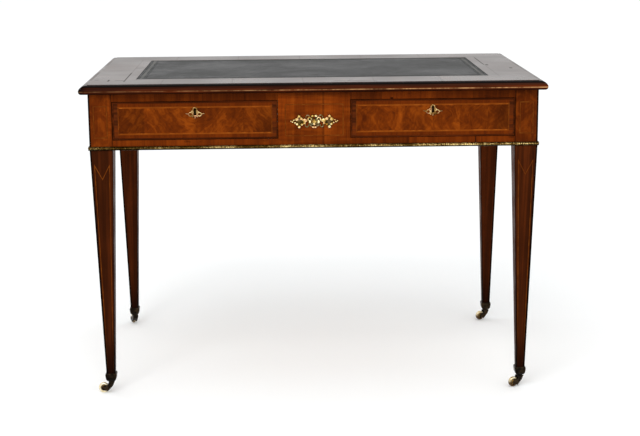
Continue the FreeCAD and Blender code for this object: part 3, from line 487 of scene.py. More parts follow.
def leg_wood(name, seed, leg_light, post_light):
    """Leg in solid wood with long streaks and painted shade along its arrises; its square post is redder and
    brighter, with a painted shadow under the moulding.
    """
    s = Surface(name, Specular_IOR_Level=FRONT_GLOSS)
    low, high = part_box(name)
    along_x = s.less(s.x, (low[0] + high[0]) / 2)
    along_y = s.less(s.y, (low[1] + high[1]) / 2)
    around = s.add(s.x, s.times(s.y, DEPTH_SHARE))
    tone, pores = grain(s, around, s.times(s.z, 0.5), seed)
    streaks = s.noise(s.stretched(around, s.z, STREAK_SCALE, seed + 2), detail=3, roughness=0.6)
    tone = s.add(s.times(tone, 0.6), s.times(s.fade(streaks, 0.35, 0.65), 0.4))
    leg = s.shade(varnish(s, tone, pores, LEG), leg_light)
    cloud = s.noise(s.stretched(around, s.z, POST_CLOUD_SCALE, seed), detail=4, roughness=0.6, distortion=0.8)
    calm = s.add(s.times(tone, 0.4), s.times(s.fade(cloud, *SPAN), 0.6), 0.02)
    post = s.shade(varnish(s, calm, pores, POST), post_light)
    colour = s.blend(s.math("GREATER_THAN", s.z, POST_START), leg, post)
    slim = s.fade(s.z, LEG_FOOT, FRIEZE_BOTTOM, LEG_TOE / 2, (high[0] - low[0]) / 2)
    slim.node.interpolation_type = "LINEAR"
    inside = s.less(slim, s.least(s.size(along_x), s.size(along_y)))
    # Wear in patches, and painted shade along the arrises
    colour = s.shade(worn(s, colour), s.fade(inside, *ARRIS_SHADE_REACH, 0.4, 1))
    # Painted shade on the front face by its outer edges, and low down by its inner edges
    facing = s.math("GREATER_THAN", s.size(along_y), s.less(slim, FACE_LAYER))
    outward = s.times(along_x, math.copysign(1, low[0]))
    edge = s.fade(s.less(slim, outward), *OUTER_EDGE, 1, 0)
    inner = s.times(s.fade(s.add(slim, outward), *INNER_EDGE, 1, 0), s.fade(s.z, *INNER_HEIGHT, 1, 0.2))
    edge = s.times(facing, s.least(s.add(edge, inner), 1))
    colour = s.shade(colour, s.less(1, s.times(edge, EDGE_SHADE)))
    # Darker towards the foot and shin, and a painted shadow under the moulding at the top of the post
    for shade in LEG_SHADES:
        colour = s.shade(colour, s.fade(s.z, *shade))
    return polished(s, colour, tone, pores, LEG_POLISH)


# Border of the top: boards, the narrow band by the leather, and splits by place and half sizes
BORDER_GLOSS = 0.5
BORDER_POLISH = (0.26, 0.33)
BOARD_LENGTH = 168 * MM
BOARD_WANDER = 50 * MM
BOARD_WANDER_SCALE = 5
BOARD_JOINT = 0.005
BAND_WIDTH = 24 * MM
BAND_LINE = (0.2 * MM, 0.9 * MM)
SPLIT_SHADE = 0.8
BORDER_SPLITS = (
    (-0.450, -0.180, 0.0006, 0.096), (-0.439, 0.036, 0.011, 0.0022), (-0.519, -0.233, 0.004, 0.002),
    (-0.489, -0.248, 0.0014, 0.016), (-0.463, -0.250, 0.010, 0.002), (0.456, 0.023, 0.003, 0.009),
    (0.506, -0.057, 0.003, 0.007), (0.449, 0.120, 0.0005, 0.09), (0.10, -0.302, 0.05, 0.0012))


def border_wood():
    """Cross-grained border: boards outside, a narrow band by the leather, joints and splits."""
    s = Surface("top_border", Specular_IOR_Level=BORDER_GLOSS)
    beyond_x = s.less(s.size(s.x), LEATHER_HIGH[0])
    beyond_y = s.less(s.size(s.y), LEATHER_HIGH[1])
    beyond = s.most(beyond_x, beyond_y)
    ends = s.math("GREATER_THAN", beyond_x, beyond_y)
    run = s.add(s.times(s.x, s.less(1, ends)), s.times(s.y, ends))
    out = s.add(s.times(s.y, s.less(1, ends)), s.times(s.x, ends))
    inner = s.math("LESS_THAN", beyond, BAND_WIDTH)
    wander = s.noise(s.point(s.times(run, BOARD_WANDER_SCALE), ends, 0), detail=1)
    place = s.math("DIVIDE", s.add(run, s.times(wander, BOARD_WANDER)), BOARD_LENGTH)
    leaf = s.add(s.math("FLOOR", place), s.times(ends, 37), s.times(inner, 11))
    tone, pores = grain(s, run, out, leaf)
    colour = varnish(s, s.add(s.times(tone, 0.5), 0.25), pores, BORDER)
    colour = s.shade(colour, s.fade(s.chance(leaf), 0, 1, 0.85, 1.12))
    joint = s.fade(s.math("PINGPONG", place, 0.5), 0, BOARD_JOINT)
    band = s.fade(s.size(s.less(beyond, BAND_WIDTH)), *BAND_LINE)
    sound = s.times(s.fade(joint, 0, 1, 0.68, 1), s.fade(band, 0, 1, 0.75, 1))
    for split in BORDER_SPLITS:
        sound = s.times(sound, s.less(1, s.times(streak(s, s.x, s.y, *split), SPLIT_SHADE)))
    colour = s.shade(worn(s, colour), sound)
    broad = s.noise(s.where, scale=5, detail=3, roughness=0.5)
    roughness = s.add(s.fade(broad, *SPAN, *BORDER_POLISH), s.times(s.less(1, sound), 0.5))
    return s.finish(colour, roughness, s.add(s.times(tone, 0.3), s.times(sound, 2.5)), GRAIN_DEPTH)


# Edge moulding: heights of its forms, and runs along it where painted light, painted shade and wear change
MOULDING_POLISH = (0.28, 0.42)
ARRIS = (TOP - 6.5 * MM, TOP - 4 * MM)
UNDER_ARRIS = (TOP - 13 * MM, TOP - 7 * MM)
HOLLOW = (TOP - 10.5 * MM, TOP - 7 * MM)
NOSE = TOP - 15 * MM
MOULDING_FOOT = (TOP - 20.5 * MM, TOP - 17 * MM)
HOLLOW_RUN = (-0.3, 0.5)
LIGHT_RUN = (-0.5, 0.45)
DARK_END = (LEFT_END + 3 * MM, LEFT_END + 21 * MM)
NOSE_WEAR_AND_HIGHLIGHT = tint(200, 150, 98)
WEAR_AND_HIGHLIGHT_HALF = (0.4 * MM, 1.4 * MM)
WEAR_AND_HIGHLIGHT_RUN = (-0.54, 0.5)
WEAR_AND_HIGHLIGHT_SCALE = 16


def moulding_wood(name, along_x, gloss, hollow, arris):
    """Edge moulding: painted shade below the arris and a painted shadow on the underside, toned at the arris
    (black on the front as a painted shadow line), a painted reflection in the hollow, and wear with a painted
    highlight along the nose.
    """
    s = Surface(name, Specular_IOR_Level=gloss)
    run, out = (s.x, s.y) if along_x else (s.y, s.x)
    tone, pores = grain(s, s.add(s.times(s.z, 2), s.times(out, 1.4)), run, 2)
    wood = varnish(s, tone, pores, MOULDING)
    # Painted shade below the arris, and a painted reflection in the hollow, stronger towards the right
    wood = s.shade(wood, s.fade(s.z, *UNDER_ARRIS, 1, 0.55))
    wood = s.blend(s.times(s.fade(s.z, *HOLLOW), s.fade(run, *HOLLOW_RUN, 0.1, 0.5)), wood, hollow)
    # Painted shadow line at the arris, black on the front
    wood = s.blend(s.fade(s.z, *ARRIS), wood, arris)
    # Painted shadow on the underside
    wood = s.shade(wood, s.fade(s.z, *MOULDING_FOOT, 0.25, 1))
    # Along x: painted shade at the left end, and painted light brighter towards the right
    if along_x:
        wood = s.shade(wood, s.fade(s.x, *DARK_END, 0.2, 1))
        wood = s.shade(wood, s.fade(s.x, *LIGHT_RUN, 0.78, 1.04))
    # Wear along the nose with a painted highlight, stronger towards the right
    patches = s.noise(s.point(s.times(run, WEAR_AND_HIGHLIGHT_SCALE), 0, 0), detail=5, roughness=0.75)
    wear_and_highlight = s.times(s.fade(s.size(s.less(s.z, NOSE)), *WEAR_AND_HIGHLIGHT_HALF, 1, 0), s.fade(patches, 0.38, 0.6))
    colour = s.blend(s.times(wear_and_highlight, s.fade(run, *WEAR_AND_HIGHLIGHT_RUN, 0.2, 0.95)), wood, NOSE_WEAR_AND_HIGHLIGHT)
    return polished(s, colour, tone, pores, MOULDING_POLISH)


PLAIN_POLISH = (0.5, 0.68)
PLAIN_DEPTH = 0.2 * MM


def plain_wood(name, tints, along_x, gloss=0.2):
    """Carcass wood, drawer linings and cockbeads, with fibres along x or y."""
    s = Surface(name, Specular_IOR_Level=gloss)
    run, out = (s.x, s.y) if along_x else (s.y, s.x)
    tone, pores = grain(s, s.add(out, s.z), run, 1)
    colour = worn(s, varnish(s, tone, pores, tints))
    return polished(s, colour, tone, pores, PLAIN_POLISH, PLAIN_DEPTH)


# Inlaid lines: their tones, and where they darken on legs, posts and the uprights of the drawers
STRING_TINTS = ((0, tint(106, 48, 7)), (0.6, tint(124, 59, 11)), (1, tint(140, 74, 20)))
STRING_POLISH = (0.32, 0.45)
STRING_DEPTH = 0.05 * MM
STRING_ON_LEG = 0.76
STRING_ON_POST = 0.92
STRING_STEP = (FRIEZE_BOTTOM - 5 * MM, FRIEZE_BOTTOM + 5 * MM)
STRING_FOOT = (0.07, 0.27)
POST_STEP = (POST_INNER - 2 * MM, POST_INNER)
UPRIGHT_STEP = (STRING_REACH - 5 * MM, STRING_REACH - 3 * MM)


def string_wood(name, brightness, upright=1.0):
    """Light wood of the inlaid lines, mellowed to orange and darkest on the legs."""
    s = Surface(name, Specular_IOR_Level=FRONT_GLOSS)
    tone = s.noise(s.where, scale=60, detail=4, roughness=0.6)
    colour = s.ramp(s.fade(tone, *SPAN), *STRING_TINTS)
    colour = s.shade(colour, s.fade(s.z, *STRING_STEP, STRING_ON_LEG, brightness))
    colour = s.shade(colour, s.fade(s.z, *STRING_FOOT, 0.18, 1))
    colour = s.shade(colour, s.fade(s.size(s.x), *POST_STEP, 1, STRING_ON_POST))
    off_middle = s.size(s.less(s.size(s.x), DRAWER_MIDDLE))
    colour = s.shade(colour, s.fade(off_middle, *UPRIGHT_STEP, 1, upright))
    return s.finish(worn(s, colour), s.fade(tone, *SPAN, *STRING_POLISH), tone, STRING_DEPTH)


# Leather and metal

# Tooling of the leather, in millimetres from its edge: lines with their half widths, and rows of stamps
TOOLED_LINES = ((1.6, 0.6), (21.4, 0.4))
STAMP_ROWS = (6.2, 17.4)
STAMP_PITCH = 8 * MM
STAMP_HALF = 2.6 * MM
STAMP_SWELL = 1.0 * MM
STAMP_PERIOD = 96 * MM
TOOL_RISE = 0.22 * MM
TOOL_SINK = 0.1 * MM
RUBBED_BAND = 11.8 * MM
RUBBED_HALF = (2.6 * MM, 3.64 * MM)
RUBBED_LEATHER = tint(68, 67, 59)
LEATHER_TINTS = ((0, tint(18, 19, 19)), (0.6, tint(26, 27, 27)), (1, tint(38, 39, 38)))
LEATHER_POLISH = (0.34, 0.5)
LEATHER_GLOSS = 0.068
TOOLED_GLOSS = 0.0
PEBBLE_SCALE = 850


def leather_hide(name, gloss):
    """Black leather: pebbled grain, soft creases, and a rubbed band between the rows of stamps."""
    s = Surface(name, Specular_IOR_Level=gloss)
    pebbles = s.cells(s.where, PEBBLE_SCALE)
    creases = s.noise(s.where, scale=55, detail=5, roughness=0.65, distortion=0.4)
    patches = s.noise(s.where, scale=7, detail=4, roughness=0.6, distortion=0.3)
    colour = s.ramp(s.fade(patches, *SPAN), *LEATHER_TINTS)
    inset = s.least(s.less(LEATHER_HIGH[0], s.size(s.x)), s.less(LEATHER_HIGH[1], s.size(s.y)))
    rubbed = s.fade(s.size(s.less(inset, RUBBED_BAND)), *RUBBED_HALF, 1, 0)
    colour = s.blend(s.times(rubbed, s.fade(creases, 0.38, 0.6, 0.1, 1)), colour, RUBBED_LEATHER)
    colour = s.shade(colour, s.fade(pebbles, 0, 0.08, 0.7, 1))
    roughness = s.fade(s.add(s.times(patches, 0.7), s.times(creases, 0.3)), *SPAN, *LEATHER_POLISH)
    height = s.add(s.fade(pebbles, 0, 0.12), s.times(creases, 0.8))
    return s.finish(colour, roughness, height, GRAIN_DEPTH)


def fine_spots(s):
    return s.noise(s.where, scale=160, detail=4, roughness=0.65)


BRONZE_POLISH = (0.3, 0.5)
GILT_POLISH = (0.22, 0.38)
PEARL_POLISH = (0.25, 0.42)
LOCK_POLISH = (0.32, 0.5)
WHEEL_POLISH = (0.2, 0.34)


def bronze_metal(name, deep, middle, bright):
    """Dark cast bronze, tarnished."""
    s = Surface(name, Metallic=1)
    spots = fine_spots(s)
    patches = s.noise(s.where, scale=38, detail=3, roughness=0.6)
    tone = s.fade(s.add(s.times(spots, 0.5), s.times(patches, 0.5)), 0.35, 0.65)
    colour = s.ramp(tone, (0, deep), (0.5, middle), (1, bright))
    return s.finish(colour, s.fade(spots, *SPAN, *BRONZE_POLISH), spots, METAL_DEPTH)


GILT_SHADOW = tint(44, 32, 10)
BLUSH_SHIFT = 3


def gilding(name, deep, middle, bright, rose, shadow_reach):
    """Rubbed gilding: pale on the high lobes, rosy in patches, with a painted shadow where it meets the wood.
    """
    s = Surface(name, Metallic=1)
    spots = fine_spots(s)
    patches = s.noise(s.where, scale=100, detail=2, roughness=0.5)
    tone = s.fade(s.add(s.times(spots, 0.4), s.times(patches, 0.6)), 0.38, 0.62)
    colour = s.ramp(tone, (0, deep), (0.45, middle), (1, bright))
    blush = s.noise(s.point(s.add(s.x, BLUSH_SHIFT), s.y, s.z), scale=85, detail=1)
    colour = s.blend(s.fade(blush, 0.5, 0.64, 0, 0.7), colour, rose)
    # Painted shadow where the metal meets the wood
    colour = s.blend(s.fade(s.less(FRONT, s.y), 0.2 * shadow_reach, shadow_reach, 1, 0), colour, GILT_SHADOW)
    return s.finish(colour, s.fade(spots, *SPAN, *GILT_POLISH), spots, METAL_DEPTH)


PEARL_TINTS = ((0, tint(66, 46, 13)), (0.55, tint(128, 98, 42)), (1, tint(242, 218, 152)))
PEARL_RUN = (-0.5, 0.5)


def pearl_metal(name):
    """Brass of the beading, toned in patches: bright along its crest, with painted shade towards its top and
    bottom edges, and painted light brighter towards the right.
    """
    s = Surface(name, Metallic=1)
    spots = s.noise(s.where, scale=380, detail=2, roughness=0.7)
    patches = s.noise(s.where, scale=14, detail=3, roughness=0.6)
    colour = s.ramp(s.fade(s.add(s.times(spots, 0.55), s.times(patches, 0.45)), 0.38, 0.64), *PEARL_TINTS)
    # Painted shade towards the top and bottom of the beading, and painted light brighter towards the right
    level = s.math("DIVIDE", s.less(s.z, FRIEZE_BOTTOM), BEAD_HEIGHT)
    lit = s.times(s.fade(level, 0.22, 0.5, 0.16, 1), s.fade(level, 0.78, 0.95, 1, 0.35))
    colour = s.shade(colour, s.times(lit, s.fade(s.x, *PEARL_RUN, 0.85, 1.2)))
    return s.finish(colour, s.fade(spots, *SPAN, *PEARL_POLISH), spots, METAL_DEPTH)


LOCK_BACK = (17.5 * MM, 18.5 * MM)
SELVEDGE = (DRAWER_TOP - 3 * MM, DRAWER_TOP - 2.5 * MM)
LOCK_SHADE = 0.97


def lock_metal(name, deep, middle, bright):
    """Metal of a lock or its bolt, bright on the outer faces, with painted shade inside the case, where it is
    matt and not metallic.
    """
    s = Surface(name, Specular_IOR_Level=0)
    spots = fine_spots(s)
    colour = s.ramp(s.fade(spots, 0.35, 0.65), (0, deep), (0.5, middle), (1, bright))
    # Painted shade inside the case
    inside = s.times(s.fade(s.less(s.y, FRONT), *LOCK_BACK, 1, 0), s.fade(s.z, *SELVEDGE, 1, 0))
    s.feed(s.shader.inputs["Metallic"], s.less(1, inside))
    colour = s.shade(colour, s.less(1, s.times(inside, LOCK_SHADE)))
    return s.finish(colour, s.fade(spots, *SPAN, *LOCK_POLISH), spots, METAL_DEPTH)


# Wheels: tones, how far each has painted shade on its lower side, and where across its height and in its dish
# the painted shade lies
WHEEL_TINTS = ((0, tint(206, 182, 132)), (0.5, tint(240, 224, 182)), (1, tint(255, 246, 222)))
WHEEL_SIDE_SHADE = {"front_left": 0.0, "front_right": 0.95, "back_left": 0.7, "back_right": 0.95}
SIDE_SHADE_TINT = tint(74, 46, 18)
SIDE_SHADE_LEAN = (-0.25, 0.95)
SIDE_SHADE_WAVER = 6 * MM
SIDE_SHADE_REACH = 9.5 * MM
DISH_SHADE = tint(150, 115, 62)
DISH_RADIUS = (5.5 * MM, 7.2 * MM)
WHEEL_DEPTH = 0.06 * MM


def wheel_metal(name, centre, axis, side_shade):
    """Brass wheel, polished on its tread and rims, with painted shade in the dish round the hub and on its
    lower side.
    """
    s = Surface(name, Metallic=1)
    spots = s.noise(s.where, scale=300, detail=3, roughness=0.65)
    colour = s.ramp(s.fade(spots, *SPAN), *WHEEL_TINTS)
    dx, dy, dz = [s.less(value, at) for value, at in zip((s.x, s.y, s.z), centre)]
    along = s.add(s.times(dx, axis[0]), s.times(dy, axis[1]))
    square = s.add(s.times(dx, dx), s.times(dy, dy), s.times(dz, dz))
    radius = s.math("SQRT", s.most(s.less(square, s.times(along, along)), 0))
    # Painted shade on the lower side of the wheel, towards the right, and in the dish round the hub
    waver = s.times(s.less(spots, 0.5), SIDE_SHADE_WAVER)
    lean = s.add(s.times(dz, SIDE_SHADE_LEAN[1]), s.times(dx, SIDE_SHADE_LEAN[0]), waver)
    colour = s.blend(s.times(s.fade(lean, 0, SIDE_SHADE_REACH, 1, 0), side_shade), colour, SIDE_SHADE_TINT)
    colour = s.blend(s.fade(radius, *DISH_RADIUS, 1, 0), colour, DISH_SHADE)
    return s.finish(colour, s.fade(spots, *SPAN, *WHEEL_POLISH), spots, WHEEL_DEPTH)


FLOOR_TINTS = ((0, tint(252, 254, 255)), (1, tint(253, 255, 255)))
FLOOR_GLOSS = 0.1
FLOOR_POLISH = (0.85, 0.95)
FLOOR_DEPTH = 0.1 * MM


def floor_paint():
    """Pale matt studio floor."""
    s = Surface("studio_floor", Specular_IOR_Level=FLOOR_GLOSS)
    mottle = s.noise(s.where, scale=3, detail=4)
    colour = s.ramp(mottle, *FLOOR_TINTS)
    return s.finish(colour, s.fade(mottle, *SPAN, *FLOOR_POLISH), mottle, FLOOR_DEPTH)


# Dressing of the CAD nodes

LEG_ROUND = 0.9 * MM
SMALL_ROUND = 0.6 * MM
ROUND_ANGLE = 35
WELD_REACH = 0.01 * MM


def paint(material, *names):
    """Gives CAD nodes a material."""
    for name in names:
        part = nodes[name]
        if not part.material_slots:
            part.data.materials.append(material)
        for slot in part.material_slots:
            slot.material = material


def soften(width, *names):
    """Rounds the edges of CAD nodes by modifiers."""
    for name in names:
        weld = nodes[name].modifiers.new("weld", "WELD")
        weld.merge_threshold = WELD_REACH
        bevel = nodes[name].modifiers.new("bevel", "BEVEL")
        bevel.width = width
        bevel.segments = 2
        bevel.limit_method = "ANGLE"
        bevel.angle_limit = math.radians(ROUND_ANGLE)


# Shapes built here

def piece(name, mesh, material, body, slot, *replaced):
    """New object from a finished mesh, riding on a body."""
    data = bpy.data.meshes.new(name)
    bmesh.ops.recalc_face_normals(mesh, faces=mesh.faces[:])
    mesh.to_mesh(data)
    mesh.free()
    data.materials.append(material)
    for face in data.polygons:
        face.use_smooth = True
    made = bpy.data.objects.new(name, data)
    scene.collection.objects.link(made)
    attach(made, body)
    if replaced:
        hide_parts(*replaced)
    return made


def bridge(mesh, first, second):
    """Band of four-sided faces between two rings of the same count."""
    count = len(first)
    for step in range(count):
        after = (step + 1) % count
        mesh.faces.new((first[step], first[after], second[after], second[step]))


def arc(u, v, half_u, half_v, start, end, steps=14):
    """Points on part of an oval; angles in degrees."""
    turns = [math.radians(start + (end - start) * step / steps) for step in range(steps + 1)]
    return [(u + half_u * math.cos(turn), v + half_v * math.sin(turn)) for turn in turns]


class Relief:
    """Cast ornament on an upright face: u to the right, v up and w out from the wood, in millimetres."""

    def __init__(self, x, z):
        self.mesh = bmesh.new()
        self.origin = (x, z)

    def at(self, u, v, w):
        """Place of a point, not deeper than the face of the wood."""
        return Vector((self.origin[0] + u * MM, FRONT - max(w, 0) * MM, self.origin[1] + v * MM))

    def dome(self, u, v, half_u, half_v, height, turn=0, around=14, rings=8):
        """Rounded lobe with a flat back on the wood."""
        made = bmesh.ops.create_uvsphere(self.mesh, u_segments=around, v_segments=rings, radius=1)
        angle = math.radians(turn)
        for vertex in made["verts"]:
            p, q, w = vertex.co.x * half_u, vertex.co.y * half_v, vertex.co.z * height
            vertex.co = self.at(u + p * math.cos(angle) - q * math.sin(angle),
                                v + p * math.sin(angle) + q * math.cos(angle), w)

    def lobes(self, table, sx):
        """Lobes of one half, mirrored by the sign of its side."""
        for u, v, half_u, half_v, height, turn in table:
            self.dome(sx * u, v, half_u, half_v, height, sx * turn)

    def sweep(self, path, radii, lift, around=8):
        """Round rod along a path; its radius may change from point to point."""
        rings = []
        for index, (u, v) in enumerate(path):
            before = path[max(index - 1, 0)]
            after = path[min(index + 1, len(path) - 1)]
            tangent = Vector((after[0] - before[0], after[1] - before[1])).normalized()
            radius = radii[index] if isinstance(radii, tuple) else radii
            ring = []
            for step in range(around):
                angle = 2 * math.pi * step / around
                side, out = radius * math.cos(angle), radius * math.sin(angle)
                ring.append(self.mesh.verts.new(self.at(u - tangent.y * side, v + tangent.x * side,
                                                        lift + radius * 0.5 + out)))
            rings.append(ring)
        for first, second in zip(rings, rings[1:]):
            bridge(self.mesh, first, second)
        self.mesh.faces.new(rings[0])
        self.mesh.faces.new(rings[-1])


def cast(name, relief, material, body, slot, node, voxel):
    """Joins a relief into one skin and replaces its CAD node."""
    made = piece(name, relief.mesh, material, body, slot, node)
    skin = made.modifiers.new("skin", "REMESH")
    skin.mode = "VOXEL"
    skin.voxel_size = voxel
    skin.use_smooth_shade = True
    relax = made.modifiers.new("relax", "SMOOTH")
    relax.factor = 0.4
    relax.iterations = 2


# Gilt mount in millimetres. Lobes and flat plates: place, half sizes, height and, off the middle line, turn.
# Curled stems: centre, half sizes, angles, thickness and lift
MOUNT_MIDDLE = ((0, -0.4, 6.0, 3.8, 5.8), (0, 3.0, 3.8, 4.0, 5.8), (0, -6.0, 3.8, 4.2, 4.8))
MOUNT_LOBES = (
    (10.2, -0.4, 3.8, 5.2, 5.2, 8), (4.0, 13.2, 4.4, 3.4, 4.0, -14), (2.6, -13.4, 3.4, 2.7, 3.6, 0),
    (22.0, 2.8, 6.4, 6.0, 5.8, 12), (23.4, -4.2, 4.0, 3.0, 3.4, 0), (36.0, 12.8, 4.2, 4.2, 4.8, 0),
    (41.0, 5.8, 5.0, 5.0, 5.6, 0), (29.8, 6.8, 4.8, 4.6, 5.6, 0), (35.6, -12.6, 4.2, 4.2, 4.6, 0),
    (29.4, -6.8, 3.8, 3.6, 4.4, 0), (40.4, -6.2, 3.8, 3.6, 4.4, 0), (48.6, 3.8, 3.8, 2.1, 4.0, -8),
    (45.6, -2.8, 3.0, 2.6, 4.0, 0), (51.4, -0.6, 2.8, 2.5, 4.0, 0), (55.0, 1.4, 2.2, 2.0, 3.4, 0))
MOUNT_PLATES = ((6.0, -0.5, 8.5, 11.0, 1.2, 0), (36.0, 0.2, 8.0, 12.0, 1.1, 0), (23.0, 0.0, 7.0, 5.5, 1.2, 0))
MOUNT_CURLS = ((10.8, 5.8, 4.0, 4.2, -50, 190, 1.5, 1.2), (15.2, 9.8, 4.6, 5.0, -10, 170, 1.7, -1.1),
               (17.4, -8.6, 3.8, 4.4, -200, 40, 1.6, -1.1), (0, -3.4, 12.6, 9.2, 205, 270, 1.6, -1.0))
MOUNT_VOXEL = 0.35 * MM


def mount_relief():
    """Gilt mount: cartouche with a palmette and scrolls, two pierced rosettes, links and beaded tips."""
    low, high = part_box("centre_mount")
    relief = Relief(0, (low[2] + high[2]) / 2)
    for lobe in MOUNT_MIDDLE:
        relief.dome(*lobe)
    for sx in SIDES.values():
        relief.lobes(MOUNT_LOBES + MOUNT_PLATES, sx)
        for u, v, half_u, half_v, start, end, rod, lift in MOUNT_CURLS:
            relief.sweep([(sx * p, q) for p, q in arc(u, v, half_u, half_v, start, end)], rod, lift)
    return relief


# Keyhole plate in millimetres: arched rim, scrolled loop and stem of one half, and lobes as on the mount
RIM_HALF, RIM_FOOT, RIM_SPRING, RIM_RISE, RIM_ROD, RIM_LIFT = 4.5, -8.4, 5.2, 5.0, 1.7, 0.2
SILL = ((-4.5, -8.2), (0, -9.4), (4.5, -8.2))
LOOP = (10.4, -5.4, 4.4, 4.2, -30, 330, 18)
LOOP_ROD, LOOP_LIFT = 1.35, 0.1
STEM = ((5.6, 3.4), (8.0, 0.6), (10.4, -0.8))
STEM_RODS, STEM_LIFT = (1.0, 1.6, 1.2), 0.2
PLATE_MIDDLE = ((0, 10.4, 2.2, 1.6, 3.0), (0, -13.6, 2.4, 2.0, 2.6), (0, -11.0, 2.2, 2.0, 2.4))
PLATE_LOBES = ((5.6, -11.0, 2.8, 1.8, 2.6, 38), (6.4, 2.8, 1.6, 1.6, 3.2, 0), (3.4, -10.4, 1.5, 1.4, 3.2, 0),
               (16.4, -4.4, 3.2, 2.0, 2.8, 0), (20.4, -3.8, 2.6, 1.1, 2.2, 0))
PLATE_VOXEL = 0.3 * MM


def escutcheon_relief(side):
    """Keyhole plate: raised arched rim, open scrolled loops, leaf tips, beads and a drop."""
    low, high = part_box(f"drawer_{side}_front")
    relief = Relief((low[0] + high[0]) / 2, high[2] - KEY_DROP)
    rim = arc(0, RIM_SPRING, RIM_HALF, RIM_RISE, 0, 180, 12)
    relief.sweep([(RIM_HALF, RIM_FOOT)] + rim + [(-RIM_HALF, RIM_FOOT)], RIM_ROD, RIM_LIFT)
    relief.sweep(SILL, RIM_ROD, RIM_LIFT)
    for lobe in PLATE_MIDDLE:
        relief.dome(*lobe)
    for sx in SIDES.values():
        relief.sweep([(sx * u, v) for u, v in arc(*LOOP)], LOOP_ROD, LOOP_LIFT)
        relief.sweep([(sx * u, v) for u, v in STEM], STEM_RODS, STEM_LIFT)
        relief.lobes(PLATE_LOBES, sx)
    return relief


# Half profile of a wheel in millimetres, from the bore to the tread: radius and distance from its middle
WHEEL_PROFILE = ((2.05, 4.0), (3.9, 4.2), (4.5, 3.4), (5.4, 2.5), (6.4, 2.6), (7.2, 3.8), (8.2, 4.4),
                 (9.8, 4.5), (11.2, 4.1), (12.1, 3.0), (12.45, 1.5), (12.5, 0.0))
WHEEL_STEPS = 48


def turned_wheel(corner):
    """Brass wheel with a rounded tread, dished faces and a hub, turned about its axle."""
    joint = next(one for one in frame["joints"] if one["child"] == f"wheel_{corner}")
    centre, axis = Vector(joint["pos_m"]), Vector(joint["axis"])
    side = axis.cross(Vector((0, 0, 1)))
    half = [(radius * MM, out * MM) for radius, out in WHEEL_PROFILE]
    profile = half + [(radius, -out) for radius, out in reversed(half[:-1])]
    mesh = bmesh.new()
    rings = []
    for step in range(WHEEL_STEPS):
        angle = 2 * math.pi * step / WHEEL_STEPS
        spoke = side * math.cos(angle) + Vector((0, 0, math.sin(angle)))
        rings.append([mesh.verts.new(centre + spoke * radius + axis * out) for radius, out in profile])
    for first, second in zip(rings, rings[1:] + rings[:1]):
        bridge(mesh, first, second)
    brass = wheel_metal(f"wheel_brass_{corner}", centre, axis, WHEEL_SIDE_SHADE[corner])
    piece(f"turned_wheel_{corner}", mesh, brass, f"wheel_{corner}", "wheel_brass", f"castor_{corner}_wheel")


# Beading: shares of its height and of how far it stands out, and the pitch of its pearls in radii
FILLET_PLACE = 0.14
FILLET_RADIUS = 0.13
FILLET_DEPTH = 0.45
CORE_RADIUS = 0.3
CORE_DEPTH = 0.1
PEARL_RADIUS = 0.29
PEARL_PITCH = 1.75
ROD_STEPS = 5


def bead_strip(name, material):
    """Row of pearls between two thin fillets, in place of one brass bead."""
    low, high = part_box(name)
    along = 0 if high[0] - low[0] > high[1] - low[1] else 1
    out = 1 - along
    sign = -1 if low[out] < 0 else 1
    inner = low[out] if sign > 0 else high[out]
    proud = high[out] - low[out]
    length = high[along] - low[along] - 2 * proud
    height = high[2] - low[2]
    middle = (low[2] + high[2]) / 2
    mesh = bmesh.new()

    def place(run, depth, level):
        spot = Vector((0, 0, level))
        spot[along] = run
        spot[out] = inner + sign * depth
        return spot

    def rod(level, radius, depth):
        ends = []
        for run in (low[along], high[along]):
            reach = math.copysign(1, run)
            ring = []
            for step in range(ROD_STEPS + 1):
                angle = math.pi * (step / ROD_STEPS - 0.5)
                stand = depth + radius * math.cos(angle)
                spot = place(run - reach * (proud - stand), stand, level + radius * math.sin(angle))
                ring.append(mesh.verts.new(spot))
            for level_end in (1, -1):
                ring.append(mesh.verts.new(place(run - reach * proud, 0, level + level_end * radius)))
            ends.append(ring)
        bridge(mesh, *ends)
        for ring in ends:
            mesh.faces.new(ring)

    for level in (low[2] + FILLET_PLACE * height, high[2] - FILLET_PLACE * height):
        rod(level, FILLET_RADIUS * height, FILLET_DEPTH * proud)
    rod(middle, CORE_RADIUS * height, CORE_DEPTH * proud)
    radius = PEARL_RADIUS * height
    count = int(length / (PEARL_PITCH * radius))
    for index in range(count):
        run = low[along] + proud + length * (index + 0.5) / count
        made = bmesh.ops.create_uvsphere(mesh, u_segments=8, v_segments=6, radius=radius)
        shift = place(run, proud - radius, middle)
        for vertex in made["verts"]:
            vertex.co += shift
    piece("pearl" + name[5:], mesh, material, "table", "bead_brass", name)


